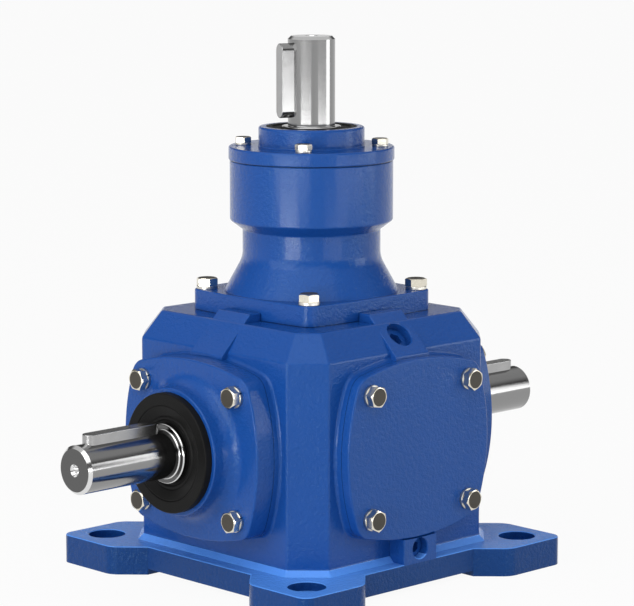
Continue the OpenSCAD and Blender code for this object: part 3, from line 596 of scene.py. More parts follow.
# %% Small finishes
def cloudy_metal(name, light, dark, rough, grain=900.0, depth=0.00001):
    f = new_finish(name)
    place = f.node("ShaderNodeTexCoord", out="Object")
    cloud = noise(f, place, 140, 3)
    speck = noise(f, place, grain, 2)
    return f.show(f.node("ShaderNodeBsdfPrincipled", {}, {
        "Base Color": blend(f, cloud, dark, light),
        "Metallic": 1.0,
        "Roughness": rough + cloud * 0.1 + speck * 0.06,
        "Normal": bump(f, speck, depth),
    }))


def grained(name, light, dark, rough, scale, depth, shine=0.3):
    f = new_finish(name)
    place = f.node("ShaderNodeTexCoord", out="Object")
    grain = noise(f, place, scale, 2)
    cloud = noise(f, place, 90, 3)
    return f.show(f.node("ShaderNodeBsdfPrincipled", {}, {
        "Base Color": blend(f, cloud, dark, light),
        "Roughness": rough + cloud * 0.12,
        "Specular IOR Level": shine,
        "Normal": bump(f, grain, depth),
    }))


zinc = cloudy_metal("zinc_plate", (0.80, 0.76, 0.66, 1), (0.66, 0.62, 0.52, 1), 0.16)
washer_steel = cloudy_metal("spring_steel", (0.70, 0.68, 0.62, 1), (0.55, 0.53, 0.48, 1), 0.22)
key_steel = cloudy_metal("key_steel", (0.42, 0.42, 0.42, 1), (0.34, 0.34, 0.34, 1), 0.12,
                         grain=2600, depth=0.000002)
gear_steel = cloudy_metal("gear_steel", (0.42, 0.42, 0.43, 1), (0.30, 0.30, 0.31, 1), 0.2)
bearing_steel = cloudy_metal("bearing_steel", (0.70, 0.71, 0.72, 1), (0.62, 0.63, 0.64, 1), 0.1,
                             grain=3000, depth=0.000002)
cage_steel = cloudy_metal("cage_steel", (0.52, 0.50, 0.46, 1), (0.42, 0.40, 0.37, 1), 0.3)
turned_steel = cloudy_metal("turned_steel", (0.56, 0.56, 0.57, 1), (0.46, 0.46, 0.47, 1), 0.24)
rubber = grained("seal_rubber", (0.008, 0.008, 0.008, 1), (0.004, 0.004, 0.004, 1), 0.4,
                 scale=1600, depth=0.00003, shine=0.1)
# painted dark reflection on the round end faces of the bolt heads
dark_end_painted_reflection = grained("bolt_end_painted_reflection", (0.060, 0.052, 0.040, 1), (0.034, 0.030, 0.024, 1), 0.4,
                     scale=1100, depth=0.00004)
print("small finishes:", zinc.name, rubber.name, gear_steel.name, dark_end_painted_reflection.name)

# %% [markdown]
# ## The base and its feet
#
# The base is one plate with four feet, and only the feet touch the floor. The plan is drawn once
# as a ring of corners, turned four times, and extruded to the full height. A flat cross is then
# milled out from below. The plate's upper edge is rounded, and so are the feet's upright edges.

# %% Base
BEYOND = 200        # a cutter that ends here passes every side


def base_plate():
    bm = bmesh.new()
    corner = FOOT - FOOT_CORNER
    ring = []
    for quarter in range(4):
        turn = spun(90 * quarter, "Z")
        for x, y in ((PLATE, FOOT_IN), (FOOT, FOOT - FOOT_SIDE), (FOOT, FOOT),
                     (FOOT - FOOT_SIDE, FOOT), (FOOT_IN, PLATE)):
            ring.append(bm.verts.new(turn @ Vector((x, y, 0))))
    extrude(bm, [bm.faces.new(ring)], (0, 0, BASE_TOP))
    upright = [e for e in bm.edges if abs(e.verts[0].co.z - e.verts[1].co.z) > 1]
    tips = [e for e in upright if abs(abs(e.verts[0].co.x) - abs(e.verts[0].co.y)) < 1]
    shoulders = [e for e in upright if max(abs(e.verts[0].co.x), abs(e.verts[0].co.y)) > FOOT - 1
                 and e not in tips]
    for edges, width, steps in ((tips, FOOT_CORNER, 8), (shoulders, FOOT_SHOULDER, 5)):
        bmesh.ops.bevel(bm, geom=edges, offset=width, offset_type="OFFSET", segments=steps,
                        profile=0.5, affect="EDGES", material=-1)
    return round_edges(bm, EDGE, lambda e: at_height(e, BASE_TOP) and corner_angle(e) > STEEP)


base = cut(base_plate(),
           block((-FOOT_IN, -BEYOND, -1), (FOOT_IN, BEYOND, FOOT_GAP)),
           block((-BEYOND, -FOOT_IN, -1), (BEYOND, FOOT_IN, FOOT_GAP)))
print("base:", len(base.faces), "faces")

# %% [markdown]
# ## The box
#
# The box is a square with cut corners, so every level of it is an octagon. A shell is skinned
# through five of them: the foot that spreads onto the base, the upright walls, and the slope
# that leans in to the machined seat on top. All its long edges are then rounded at once.

# %% Box
def octagon(bm, grow, z):
    a = HALF + grow
    k = (CORNER_HALF + grow) * math.sqrt(2) - a
    ring = [bm.verts.new((x, y, z)) for x, y in
            ((a, -k), (a, k), (k, a), (-k, a), (-a, k), (-a, -k), (-k, -a), (k, -a))]
    return [bm.edges.new((ring[i - 1], ring[i])) for i in range(8)]


def octagon_shell(levels):
    bm = bmesh.new()
    return close_shell(bm, [octagon(bm, grow, z) for grow, z in levels])


BOX_EDGE = 1.1
box_low = BASE_TOP - 6
walls = octagon_shell([(ROOT, box_low), (ROOT, BASE_TOP), (0, BASE_TOP + ROOT), (0, SLOPE_Z),
                       (-SLOPE_RUN, SEAT_Z)])
round_edges(walls, BOX_EDGE, lambda e: corner_angle(e) > BENT and not at_height(e, box_low)
            and not at_height(e, BASE_TOP))
print("walls:", len(walls.faces), "faces")

# %% [markdown]
# ## Lands, pads and openings
#
# Each side carries a raised land for its cover. Where a land grows out of the wall it has a
# hollow rounding, so its shell flares out over the last two millimetres: the arcs of the outline
# simply grow by the same amount all round. Above each land a cast pad slopes down from the top
# seat, and the front one holds the filler plug. The drain has a pad of its own, low down.

# %% Lands and pads
ROOT_FILLET = 2.2
FILLET_STEPS = 4
PAD_W = 15.5
PAD_TOP = 183.0
PAD_IN = 61.3
PAD_BREAK = 71.2
PAD_LOW = 152.75
PAD_HIDDEN = 165    # the underside, inside the wall
LAND_LOW = 86.5
LAND_SUNK = 0.03    # a land's rounding starts just inside the wall
COVER_GAP = 0.3
DRAIN_PAD_TOP = 49.0


def fillet_levels(arcs, foot, radius):
    """Sections of a hollow rounding that ends radius above foot."""
    levels = []
    for i in range(FILLET_STEPS + 1):
        t = math.pi / 2 * i / FILLET_STEPS
        levels.append((arcs(radius * (1 - math.sin(t))), foot + radius * (1 - math.cos(t))))
    return levels


def land(side):
    levels = [(cover_arcs(ROOT_FILLET), LAND_LOW)]
    levels += fillet_levels(cover_arcs, HALF - LAND_SUNK, ROOT_FILLET)
    levels.append((cover_arcs(), LAND_X))
    return moved(skin(levels), place_on(side))


def pad(profile, half_width, side, rounded):
    """Block with a profile of (distance from the middle, height), between two side faces."""
    bm = bmesh.new()
    face = bm.faces.new([bm.verts.new((-half_width, -d, z)) for d, z in profile])
    extrude(bm, [face], (2 * half_width, 0, 0))
    round_edges(bm, EDGE, rounded)
    return moved(bm, spun(SIDES[side], "Z"))


def top_pad(side):
    profile = [(PAD_IN, PAD_HIDDEN), (PAD_IN, PAD_TOP), (PAD_BREAK, PAD_TOP),
               (LAND_X, PAD_TOP + PAD_BREAK - LAND_X), (LAND_X, PAD_LOW), (LAND_LOW, PAD_LOW),
               (LAND_LOW, PAD_HIDDEN)]
    return pad(profile, PAD_W, side, lambda e: corner_angle(e) > BENT
               and all(v.co.z > PAD_LOW + 1 and v.co.y < -PAD_IN + 1e-3 for v in e.verts)
               and not at_height(e, PAD_HIDDEN))


drain_low = BASE_TOP - 1.5
drain_inner = pad([(LAND_LOW, drain_low), (LAND_LOW, DRAIN_PAD_TOP), (LAND_X, DRAIN_PAD_TOP),
                   (LAND_X, drain_low)], PAD_W, "front", lambda e: False)
drain_outer = pad([(HALF, drain_low), (HALF, DRAIN_PAD_TOP), (PLATE, DRAIN_PAD_TOP),
                   (PLATE, drain_low)], PAD_W, "front",
                  lambda e: corner_angle(e) > BENT and not at_height(e, drain_low)
                  and all(v.co.y < -PLATE + 1e-3 for v in e.verts))
cover_room = skin([(cover_arcs(COVER_GAP), HALF - 1), (cover_arcs(COVER_GAP), PLATE + 5)])
drain_outer = cut(drain_outer, moved(cover_room, place_on("front")))

box = joined(base, walls, *[land(s) for s in SIDES], *[top_pad(s) for s in SIDES],
             drain_inner, drain_outer)
print("box before drilling:", len(box.faces), "faces")

# %% [markdown]
# ## Drilling the box
#
# What the machine shop takes off is one set of cutters: the oil space, four round openings, the
# top bore, the tapped holes, the holes of the two oil plugs, and the foot holes with their spot
# faces. The oil space is the box again, a wall smaller, and open at the top. Cutting all of them
# in one Boolean is quicker and cleaner than one after another.

# %% Cutters
OPEN_Z = 163.0
FLOOR_Z = 14.0
TAP = 4.05          # M8
TAP_DEPTH = 13.0
FOOT_HOLE_R = 6.75
SPOT_R = 12.5
SPOT_Z = 13.5
FILLER = (84.2, 170.0)
FILLER_R = 9.2
DRAIN_Z = 28.5
DRAIN_R = 7.0
ramp = Matrix.Translation((0, -FILLER[0], FILLER[1])) @ spun(45, "X")
drain_axis = place_on("front", DRAIN_Z)


def plug_hole(r, low, face, edge):
    """Cutter for a plug's hole from low up to the face of its pad, with a broken edge."""
    rim = face + 0.2
    return turned([(0, low), (r, low), (r, rim - edge), (r + edge, rim), (r + edge, face + 2),
                   (0, face + 2)], steps=64)


inner_shift = WALL * math.hypot(SLOPE_RUN, SEAT_Z - SLOPE_Z) / (SEAT_Z - SLOPE_Z)
inner_slope_z = SLOPE_Z - (inner_shift - WALL) * (SEAT_Z - SLOPE_Z) / SLOPE_RUN
inner_top = -WALL - (OPEN_Z - inner_slope_z) * SLOPE_RUN / (SEAT_Z - SLOPE_Z)
cutters = [octagon_shell([(-WALL, FLOOR_Z), (-WALL, inner_slope_z), (inner_top, OPEN_Z)]),
           rod(60, OPEN_Z - 1, SEAT_Z + 1, sides=144)]
for side in SIDES:
    cutters.append(moved(rod(OPENING_R, HALF - WALL - 1, LAND_X + 1, sides=128), place_on(side)))
    cutters += [moved(tap, place_on(side))
                for tap in holes(TAP, LAND_X - TAP_DEPTH, LAND_X + 1, BOLT_AT)]
cutters += holes(TAP, SEAT_Z - TAP_DEPTH, SEAT_Z + 1, FLANGE_BOLT_AT)
for x, y in FOOT_HOLE_AT:
    foot_hole = turned([(0, -1), (FOOT_HOLE_R, -1), (FOOT_HOLE_R, SPOT_Z), (SPOT_R, SPOT_Z),
                        (SPOT_R, BASE_TOP - 0.5), (SPOT_R + 0.7, BASE_TOP + 0.2),
                        (SPOT_R + 0.7, BASE_TOP + 1), (0, BASE_TOP + 1)], steps=48)
    cutters.append(moved(foot_hole, Matrix.Translation((x, y, 0))))
cutters.append(moved(plug_hole(FILLER_R, -22, 0, 0.9), ramp))
cutters.append(moved(plug_hole(DRAIN_R, 81, PLATE, 0.8), drain_axis))
box = cut(box, *cutters)
make_piece("box_casting", box, "casing", "housing", "blue_paint", blue_enamel)

# %% [markdown]
# ## Covers and bearing caps
#
# The front and rear openings are closed by flat covers, and the left and right ones by caps that
# carry the bearings. All four share the outline of the land. A cap is a slab with that outline,
# joined to a hub from the lathe, whose foot runs out in a wide hollow curve.

# %% Covers and caps
def slab(arcs, low, high, edge):
    bm = skin([(arcs(), low), (arcs(), high)])
    return round_edges(bm, edge, lambda e: at_height(e, high) and corner_angle(e) > STEEP, 4)


COVER_EDGE = 1.2
CLEAR = 4.35        # the holes for M8 bolts
for side in ("front", "rear"):
    spigot = turned([(46, LAND_X - 5), (OPENING_R - 0.1, LAND_X - 5),
                     (OPENING_R - 0.1, SEAT_X + 3), (46, SEAT_X + 3)])
    plate = joined(slab(cover_arcs, SEAT_X, COVER_X, COVER_EDGE), spigot)
    plate = cut(plate, *holes(CLEAR, SEAT_X - 1, COVER_X + 1, BOLT_AT))
    make_piece(side + "_blank_cover", moved(plate, place_on(side)), "casing", side + "_cover",
               "blue_paint", blue_enamel)

HUB_R = 42.5
HUB_X = 127.0
HUB_FILLET = 10.0
for side in ("left", "right"):
    hub = turned([(BEARING_R, 87.75), (OPENING_R - 0.05, 87.75), (OPENING_R - 0.05, CAP_X - 0.05),
                  (HUB_R, CAP_X - 0.05), (HUB_R, HUB_X), (SEAL_R, HUB_X), (SEAL_R, 104.75),
                  (BEARING_R, 104.75)], {3: HUB_FILLET, 4: 1.0})
    plate = cut(slab(cover_arcs, SEAT_X, CAP_X, COVER_EDGE),
                rod(50, SEAT_X - 1, CAP_X + 1, sides=144))
    cap = cut(joined(plate, hub), *holes(CLEAR, SEAT_X - 1, CAP_X + 1, BOLT_AT))
    make_piece(side + "_bearing_cap", moved(cap, place_on(side)), "casing", side + "_cap",
               "blue_paint", blue_enamel)

# %% [markdown]
# ## The input carrier and its cap
#
# The tall carrier on top is a lathe part with a square flange. Its flare runs into the neck in a
# soft curve, and a short cone leads out again to the barrel and lies in its shadow. The cap above
# is a little wider than the barrel, so their joint reads as a fine line.

# %% Carrier and input cap
CARRIER_Z = SEAT_Z + GASKET
FLANGE_Z = CARRIER_Z + 13.5
BARREL_TOP = 279.5
CAP_BOLT_AT = [(46.5 * math.cos(math.radians(t)), 46.5 * math.sin(math.radians(t)))
               for t in (39.7, 129.7, 219.7, 309.7)]
RIM_Z = 288.9
NECK_R = 46.8
BARREL_R = 55.3
RIM_R = 56.1
COLLAR_R = 35.9
INPUT_SEAL_TOP = 302.2
SMALL_TAP = 3.05    # M6
SMALL_CLEAR = 3.35

body = turned([(33, 154), (48, 154), (48, 168.3), (59.95, 168.3), (59.95, 185),
               (59, FLANGE_Z - 0.05), (NECK_R, 213.5), (NECK_R, 232.8), (BARREL_R, 239.2),
               (BARREL_R, BARREL_TOP), (BEARING_R, BARREL_TOP), (BEARING_R, 250), (41, 250),
               (41, 177.75), (BEARING_R, 177.75), (BEARING_R, 158), (33, 158)],
              {6: 4.0, 7: 0.8, 8: 0.9, 9: 0.8})
flange = cut(slab(flange_arcs, CARRIER_Z, FLANGE_Z, EDGE),
             rod(56, CARRIER_Z - 1, FLANGE_Z + 1, sides=144))
carrier = cut(joined(flange, body), *holes(CLEAR, CARRIER_Z - 1, FLANGE_Z + 1, FLANGE_BOLT_AT),
              *holes(SMALL_TAP, BARREL_TOP - 13, BARREL_TOP + 1, CAP_BOLT_AT, 20))
make_piece("bearing_carrier", carrier, "casing", "input_carrier", "blue_paint", blue_enamel)

rim = turned([(SEAL_R, 269.75), (39.95, 269.75), (39.95, 279.9), (RIM_R, 279.9), (RIM_R, RIM_Z),
              (COLLAR_R, RIM_Z), (COLLAR_R, INPUT_SEAL_TOP), (SEAL_R, INPUT_SEAL_TOP)],
             {3: 0.8, 4: 1.2, 5: 1.0, 6: 1.6})
rim = cut(rim, *holes(SMALL_CLEAR, 279, 290, CAP_BOLT_AT, 20))
make_piece("input_bearing_cap", rim, "casing", "input_cap", "blue_paint", blue_enamel)

# %% [markdown]
# ## Seals
#
# The rubber seals are moulded, so their faces are rings of low steps. On the output side a wide
# dust flange covers the end of the hub, and dips towards the lip that rubs on the shaft.

# %% Seals
LIP_R = 20.1
SEAL_OUTER_R = 30.98
DUST_FLANGE_R = 39.8
for side in ("left", "right"):
    seal = turned([(LIP_R, 119), (SEAL_OUTER_R, 119), (SEAL_OUTER_R, HUB_X), (DUST_FLANGE_R, HUB_X),
                   (DUST_FLANGE_R, 132.5), (32.2, 132.5), (31.6, 131.9), (30.9, 132.2),
                   (25.2, 130.6), (24.4, 129.9), (23.4, 130.5), (22.4, 130.5), (21.4, 129.6),
                   (LIP_R, 129.4)], {4: 0.9, 5: 0.3, 7: 0.3, 10: 0.3, 11: 0.3})
    make_piece(side + "_lip_seal", moved(seal, place_on(side)), "casing", side + "_seal",
               "seal_rubber", rubber)

seal = turned([(LIP_R, 294.2), (SEAL_OUTER_R, 294.2), (SEAL_OUTER_R, INPUT_SEAL_TOP),
               (27, INPUT_SEAL_TOP), (26.2, 301.4), (21.9, 301.4), (LIP_R, 302.1)],
              {2: 0.4, 3: 0.2})
make_piece("input_lip_seal", seal, "casing", "input_seal", "seal_rubber", rubber)

# %% [markdown]
# ## Bolts and washers
#
# A hexagon head is a six-sided prism, whose corners are turned off by a cone so that the end face
# is round. The exact intersection of the two shapes draws the curved edges of the real thing.
# Each group's bolt is made once, and copied to its holes, turned a little further each time,
# because no one tightens bolts to the same angle. Under each head lies a split spring washer.

# %% Fasteners
HEAD_SHARE = 0.66       # height of a head, as a share of the bolt's diameter
WASHER_SHARE = 0.275    # thickness of a washer, the same way
FACE_SHARE = 0.47       # radius of the round end face, as a share of the width across flats
TURN_STEP = 17          # degrees from one bolt of a group to the next


def hex_bolt(d, across, reach):
    """Bolt along Z, whose washer starts at height 0."""
    low = WASHER_SHARE * d
    high = low + HEAD_SHARE * d
    corner = across / 2 / math.cos(math.radians(30))
    prism = rod(corner, low, high, sides=6)
    end_r = FACE_SHARE * across
    brim = corner + 1
    shape = turned([(0, low - 1), (brim, low - 1), (brim, high - (brim - end_r) * 0.5),
                    (end_r, high), (0, high)], {3: 0.25}, steps=72)
    head = boolean(prism, [shape], "INTERSECT")
    shank = turned([(0, -reach), (d / 2 - 0.8, -reach), (d / 2, 0.8 - reach), (d / 2, low + 0.5),
                    (0, low + 0.5)], steps=32)
    bolt = joined(head, shank)
    # the round end face takes the painted dark reflection
    for face in bolt.faces:
        if face.normal.z > 0.999 and face.calc_center_median().z > high - 0.01:
            face.material_index = 1
    return bolt


def spring_washer(d):
    """Split ring from height 0 to its thickness, with a slanting slit."""
    thick = WASHER_SHARE * d
    outer = 0.9 * d
    ring = turned([(d / 2 + 0.1, 0), (outer, 0), (outer, thick), (d / 2 + 0.1, thick)],
                  {1: 0.3, 2: 0.35}, steps=72)
    slit = block((0, -0.5, -1), (outer + 1, 0.5, thick + 1))
    return cut(ring, moved(slit, spun(30, "Z") @ spun(12, "X")))


def copies(shape, places, first_turn, step):
    """One mesh with a copy of shape at each place, each turned a step further."""
    mesh = bpy.data.meshes.new("pattern")
    shape.to_mesh(mesh)
    shape.free()
    bm = bmesh.new()
    for i, (x, y, z) in enumerate(places):
        before = set(bm.verts)
        bm.from_mesh(mesh)
        fresh = [v for v in bm.verts if v not in before]
        turn = Matrix.Translation((x, y, z)) @ spun(first_turn + step * i, "Z")
        bmesh.ops.transform(bm, matrix=turn, verts=fresh)
    bpy.data.meshes.remove(mesh)
    return bm


def bolt_group(name, holes, z, d, across, reach, where, first_turn):
    places = [(x, y, z) for x, y in holes]
    bolts = copies(hex_bolt(d, across, reach), places, first_turn, TURN_STEP)
    make_piece(name + "_hex_bolts", moved(bolts, where), "casing", name + "_bolts", "zinc_bolt",
               zinc, dark_end_painted_reflection)
    washers = copies(spring_washer(d), places, 0, 0)
    make_piece(name + "_spring_washers", moved(washers, where), "casing", name + "_washers",
               "spring_washer", washer_steel)


GRIP = 11.5         # the length of thread in the tapped hole
for side in ("front", "rear"):
    bolt_group(side + "_cover", BOLT_AT, COVER_X, 8, 13, 7 + GRIP, place_on(side), 4)
for side in ("left", "right"):
    bolt_group(side + "_cap", BOLT_AT, CAP_X, 8, 13, 15 + GRIP, place_on(side), 10)
still = Matrix.Identity(4)
bolt_group("carrier", FLANGE_BOLT_AT, FLANGE_Z, 8, 13, 13.9 + GRIP, still, 14)
bolt_group("input_cap", CAP_BOLT_AT, RIM_Z, 6, 10, 9.4 + GRIP, still, 8)

# %% [markdown]
# ## Oil plugs
#
# Both plugs sit below the face of their pad and have a hexagon socket. They were sprayed over
# with the box, so they share its enamel.

# %% Plugs
PLUG_LENGTH = 8
PLUG_DEPTH = 6      # below the face of the pad
SOCKET_DEPTH = 4.4
SOCKET_SHARE = 0.55


def socket_plug(r, top):
    low = top - PLUG_LENGTH
    plug = turned([(0, low), (r - 0.05, low), (r - 0.05, top), (0, top)], {2: 0.7}, steps=64)
    return cut(plug, rod(SOCKET_SHARE * r, top - SOCKET_DEPTH, top + 1, sides=6))


make_piece("filler_screw_plug", moved(socket_plug(FILLER_R, -PLUG_DEPTH), ramp), "casing",
           "filler_plug", "plug_paint", blue_enamel)
make_piece("drain_screw_plug", moved(socket_plug(DRAIN_R, PLATE - PLUG_DEPTH), drain_axis),
           "casing", "drain_plug", "plug_paint", blue_enamel)

# %% [markdown]
# ## Shafts and keys
#
# Both shafts come from the lathe, with a chamfer and a centre hole at each end that is seen, and
# a softened shoulder where the seal ends. A key with round ends lies in a slot of the same shape:
# the slot's cutter is the key itself, grown by a hair.

# %% Keys
KEY_W = 10.0
KEY_IN = 5.0
KEY_OUT = 8.0
SHAFT_R = 16.0
SHAFT_TOP = AXIS_Z + SHAFT_R
SLOT_GAP = 0.02


def key_block(length, proud=KEY_OUT, grow=0.0, edge=0.0):
    """Key along X, standing on height 0."""
    r = KEY_W / 2 + grow
    a = (length - KEY_W) / 2
    height = KEY_IN + proud
    bm = bmesh.new()
    start = bm.verts.new((a, -r, 0))
    tip = start
    for centre, step in (((a, 0, 0), -2 * a), ((-a, 0, 0), None)):
        made = bmesh.ops.spin(bm, geom=[tip], cent=centre, axis=(0, 0, 1), dvec=(0, 0, 0),
                              angle=math.pi, steps=12, use_merge=False, use_duplicate=False)
        tip = next(g for g in made["geom_last"] if isinstance(g, bmesh.types.BMVert))
        if step is not None:
            across = bmesh.ops.extrude_vert_indiv(bm, verts=[tip])
            tip = across["verts"][0]
            bmesh.ops.translate(bm, verts=[tip], vec=(step, 0, 0))
    bm.edges.new((tip, start))
    bmesh.ops.contextual_create(bm, geom=bm.edges[:])
    extrude(bm, bm.faces[:], (0, 0, height))
    if edge:
        round_edges(bm, edge, lambda e: corner_angle(e) > STEEP and at_height(e, height))
    return bm


OUT_END = 208.5
OUT_KEY_L = 60.5
OUT_KEY_OUT = 6.0
OUT_KEY_BACK = 8        # from the end of the shaft to the key
out_key_at = Matrix.Translation((OUT_END - OUT_KEY_BACK - OUT_KEY_L / 2, 0, SHAFT_TOP - KEY_IN))
mirror = Matrix.Rotation(math.pi, 4, "Z")
IN_END = 362.9
IN_KEY_L = 50.0
IN_KEY_BACK = 4.6
IN_KEY_TURN = 162       # degrees from +X, seen from above
in_key_z = IN_END - IN_KEY_BACK - IN_KEY_L / 2
in_key_at = (spun(IN_KEY_TURN, "Z") @ Matrix.Translation((SHAFT_R - KEY_IN, 0, in_key_z))
             @ spun(90, "Y"))
KEY_EDGE = 0.5
key_places = {"right": (out_key_at, OUT_KEY_L, OUT_KEY_OUT, "output"),
              "left": (mirror @ out_key_at, OUT_KEY_L, OUT_KEY_OUT, "output"),
              "input": (in_key_at, IN_KEY_L, KEY_OUT, "input")}
for name, (where, length, proud, rides_on) in key_places.items():
    make_piece(name + "_feather_key", moved(key_block(length, proud, edge=KEY_EDGE), where),
               rides_on, name + "_key", "key_steel", key_steel)

# %% Shafts
def centre_hole(end, outward):
    """The (radius, height) corners of a centre drill's hole, from the rim to the axis."""
    return [(4.2, end), (1.6, end - outward * 4.4), (1.5, end - outward * 6.0),
            (0, end - outward * 6.9)]


END_CHAMFER = 2.0
SHOULDER = 134.0
IN_SHOULDER = 302.5
SEAT_R = 20         # under the seals and bearings
out_profile = centre_hole(-OUT_END, -1)[::-1] + [
    (SHAFT_R - END_CHAMFER, -OUT_END), (SHAFT_R, END_CHAMFER - OUT_END), (SHAFT_R, -SHOULDER),
    (SEAT_R, -SHOULDER), (SEAT_R, -85), (23, -85), (23, 9), (27, 9), (27, 19), (22, 19), (22, 85),
    (SEAT_R, 85), (SEAT_R, SHOULDER), (SHAFT_R, SHOULDER), (SHAFT_R, OUT_END - END_CHAMFER),
    (SHAFT_R - END_CHAMFER, OUT_END)] + centre_hole(OUT_END, 1)
lie_down = Matrix.Translation((0, 0, AXIS_Z)) @ spun(90, "Y")
shaft = moved(turned(out_profile, {6: 1.2, 7: 1.2, 16: 1.2, 17: 1.2}), lie_down)


def seat_slot(length, width, depth, where):
    """Cutter for the slot of a key that is hidden under a gear."""
    cutter = key_block(length, grow=SLOT_GAP)
    bmesh.ops.scale(cutter, vec=(1, width / KEY_W, depth / (KEY_IN + KEY_OUT)), verts=cutter.verts)
    return moved(cutter, where)


gear_slot = seat_slot(27, 12, 8.2, Matrix.Translation((36.5, 0, AXIS_Z + 17.16)))
shaft = cut(shaft, moved(key_block(OUT_KEY_L, grow=SLOT_GAP), out_key_at),
            moved(key_block(OUT_KEY_L, grow=SLOT_GAP), mirror @ out_key_at), gear_slot)
make_piece("turned_output_shaft", shaft, "output", "output_shaft", "ground_steel",
           shaft_steel["output"])

in_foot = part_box("input_shaft")[0].z / MM
in_profile = [(0, in_foot), (14, in_foot), (14, 159.75), (SEAT_R, 159.75), (SEAT_R, 177.75),
              (24, 177.75), (24, 250), (SEAT_R, 250), (SEAT_R, IN_SHOULDER), (SHAFT_R, IN_SHOULDER),
              (SHAFT_R, IN_END - END_CHAMFER), (SHAFT_R - END_CHAMFER, IN_END)]
in_profile += centre_hole(IN_END, 1)
shaft = turned(in_profile, {8: 0.6, 9: 0.6})
pinion_key_low, pinion_key_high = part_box("pinion_key")
pinion_key_z = (pinion_key_low.z + pinion_key_high.z) / 2 / MM
pinion_slot = seat_slot(20, 8, 5.3,
                        Matrix.Translation((10.92, 0, pinion_key_z)) @ spun(90, "Y"))
shaft = cut(shaft, moved(key_block(IN_KEY_L, grow=SLOT_GAP), in_key_at), pinion_slot,
            rod(TAP, in_foot - 1, in_foot + 23, sides=24))
make_piece("turned_input_shaft", shaft, "input", "input_shaft", "ground_steel",
           shaft_steel["input"])

# %% [markdown]
# ## The CAD pieces that stay
#
# Gaskets, shims, bearings and gears have the right shape already. They keep their CAD meshes and
# only change their finish. The gaskets and shims show nothing but a thin edge, which was sprayed
# over. It lies back in its joint, so it takes the same enamel darkened, a painted shade for the
# shadow in the joint.

# %% Finishes of the CAD pieces
BEARINGS = ("upper", "lower", "left", "right")
kept = {
    joint_painted_shade: ["front_gasket", "rear_gasket", "carrier_gasket", "left_shims", "right_shims",
                    "input_cap_shims"],
    bearing_steel: [a + b for a in BEARINGS for b in ("_cup", "_cone", "_rollers")],
    cage_steel: [a + "_cage" for a in BEARINGS],
    gear_steel: ["crown_gear", "pinion"],
    key_steel: ["gear_key", "pinion_key"],
    turned_steel: ["gear_spacer", "end_plate"],
    zinc: ["end_bolt"],
}
for finish, names in kept.items():
    for name in names:
        nodes[name].data.materials.clear()
        nodes[name].data.materials.append(finish)
print("CAD pieces kept:", sum(len(names) for names in kept.values()))

# %% [markdown]
# ## Floor, surround and lights
#
# The picture stands on white. To the camera and in mirrors the floor is nearly all white light,
# and the rest of it is a plain grey, which keeps a soft shadow. The world is almost white just
# above the horizon, where the camera sees it, dark in a belt above that, and paler overhead.
#
# Glossy paint and bare steel need something to mirror. Low strips and an upright panel draw the
# bright bands on the steel, the dark belt draws the dark ones between them, and two large boxes
# light the paint from above.

# %% Floor and world
FLOOR_HALF = 40.0       # metres, far enough to meet the horizon
FLOOR_LIGHT = 0.94      # the share of white light
SURROUND = ((0.115, 0.95), (0.15, 0.08), (0.42, 0.08), (0.62, 0.62))    # (height, shade)

floor_mesh = bpy.data.meshes.new("floor")
bm = bmesh.new()
bmesh.ops.create_grid(bm, x_segments=1, y_segments=1, size=FLOOR_HALF)
bm.to_mesh(floor_mesh)
bm.free()
floor = bpy.data.objects.new("floor", floor_mesh)
bpy.context.scene.collection.objects.link(floor)

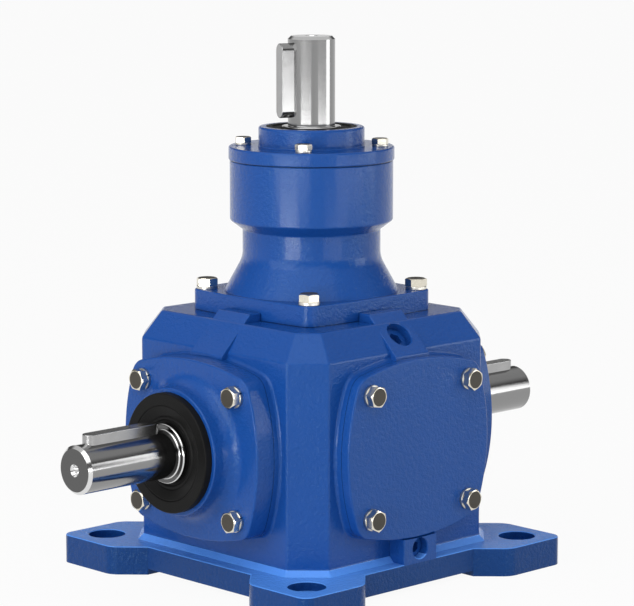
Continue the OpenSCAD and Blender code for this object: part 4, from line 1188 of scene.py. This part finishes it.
f = new_finish("pale_floor")
seen = f.node("ShaderNodeLightPath", out="Is Camera Ray")
mirrored = f.node("ShaderNodeLightPath", out="Is Glossy Ray")
through = f.node("ShaderNodeLightPath", out="Is Transmission Ray")
plain = f.node("ShaderNodeBsdfDiffuse", {}, {"Color": (0.6, 0.6, 0.6, 1)})
white = f.node("ShaderNodeEmission", {}, {"Color": (1, 1, 1, 1), "Strength": 1.0})
share = (seen + mirrored + through) * FLOOR_LIGHT
mixed = f.node("ShaderNodeMixShader", {}, {0: share, 1: plain, 2: white})
floor_mesh.materials.append(f.show(mixed))

world = bpy.data.worlds.new("studio")
bpy.context.scene.world = world
f = Finish(world, "ShaderNodeOutputWorld")
direction = f.node("ShaderNodeTexCoord", out="Generated")
stops = [(height, (shade, shade, shade, 1)) for height, shade in SURROUND]
walls_and_ceiling = f.node("ShaderNodeValToRGB", {"stops": stops},
                           {0: component(f, direction, "Z")})
f.show(f.node("ShaderNodeBackground", {}, {"Color": walls_and_ceiling, "Strength": 1.0}))
print("floor", FLOOR_HALF * 2, "m wide")

# %% Lamps
AIM = Vector((0, 0, 0.15))


def softbox(name, azimuth, middle, width, height, radiance, distance=1.4, aimed=False):
    """Area lamp around the object, with its middle at a height above the floor: azimuth 0 is behind
    the camera, and positive is to its right. It stands upright, or is aimed at the object."""
    turn = AZIMUTH + math.radians(azimuth)
    away = Vector((math.sin(turn), -math.cos(turn), 0))
    lamp = bpy.data.objects.new(name, bpy.data.lights.new(name, "AREA"))
    lamp.data.shape = "RECTANGLE"
    lamp.data.size = width
    lamp.data.size_y = height
    lamp.data.energy = radiance * math.pi * width * height
    lamp.location = away * distance + Vector((0, 0, middle))
    facing = lamp.location - AIM if aimed else away
    lamp.rotation_euler = facing.to_track_quat("Z", "Y").to_euler()
    lamp.visible_camera = False
    bpy.context.scene.collection.objects.link(lamp)


for name, *setup in (("left_floor_strip", -31, 0.04, 0.62, 0.08, 20.0),
                     ("right_floor_strip", 35, 0.04, 0.80, 0.08, 4.0),
                     ("left_strip", -27, 0.13, 1.30, 0.07, 7.5),
                     ("right_strip", 55, 0.13, 1.10, 0.07, 6.5),
                     ("right_panel", 88, 0.42, 0.50, 0.60, 3.8),
                     ("left_panel", -50, 0.85, 1.20, 1.00, 2.5)):
    softbox(name, *setup)
softbox("high_softbox", -10, 1.4, 2.2, 1.6, 1.2, distance=1.1, aimed=True)

# %% [markdown]
# ## Colour view
#
# The renderer shows colours as they are written with the Standard view.

# %% Finish
bpy.context.scene.view_settings.view_transform = "Standard"
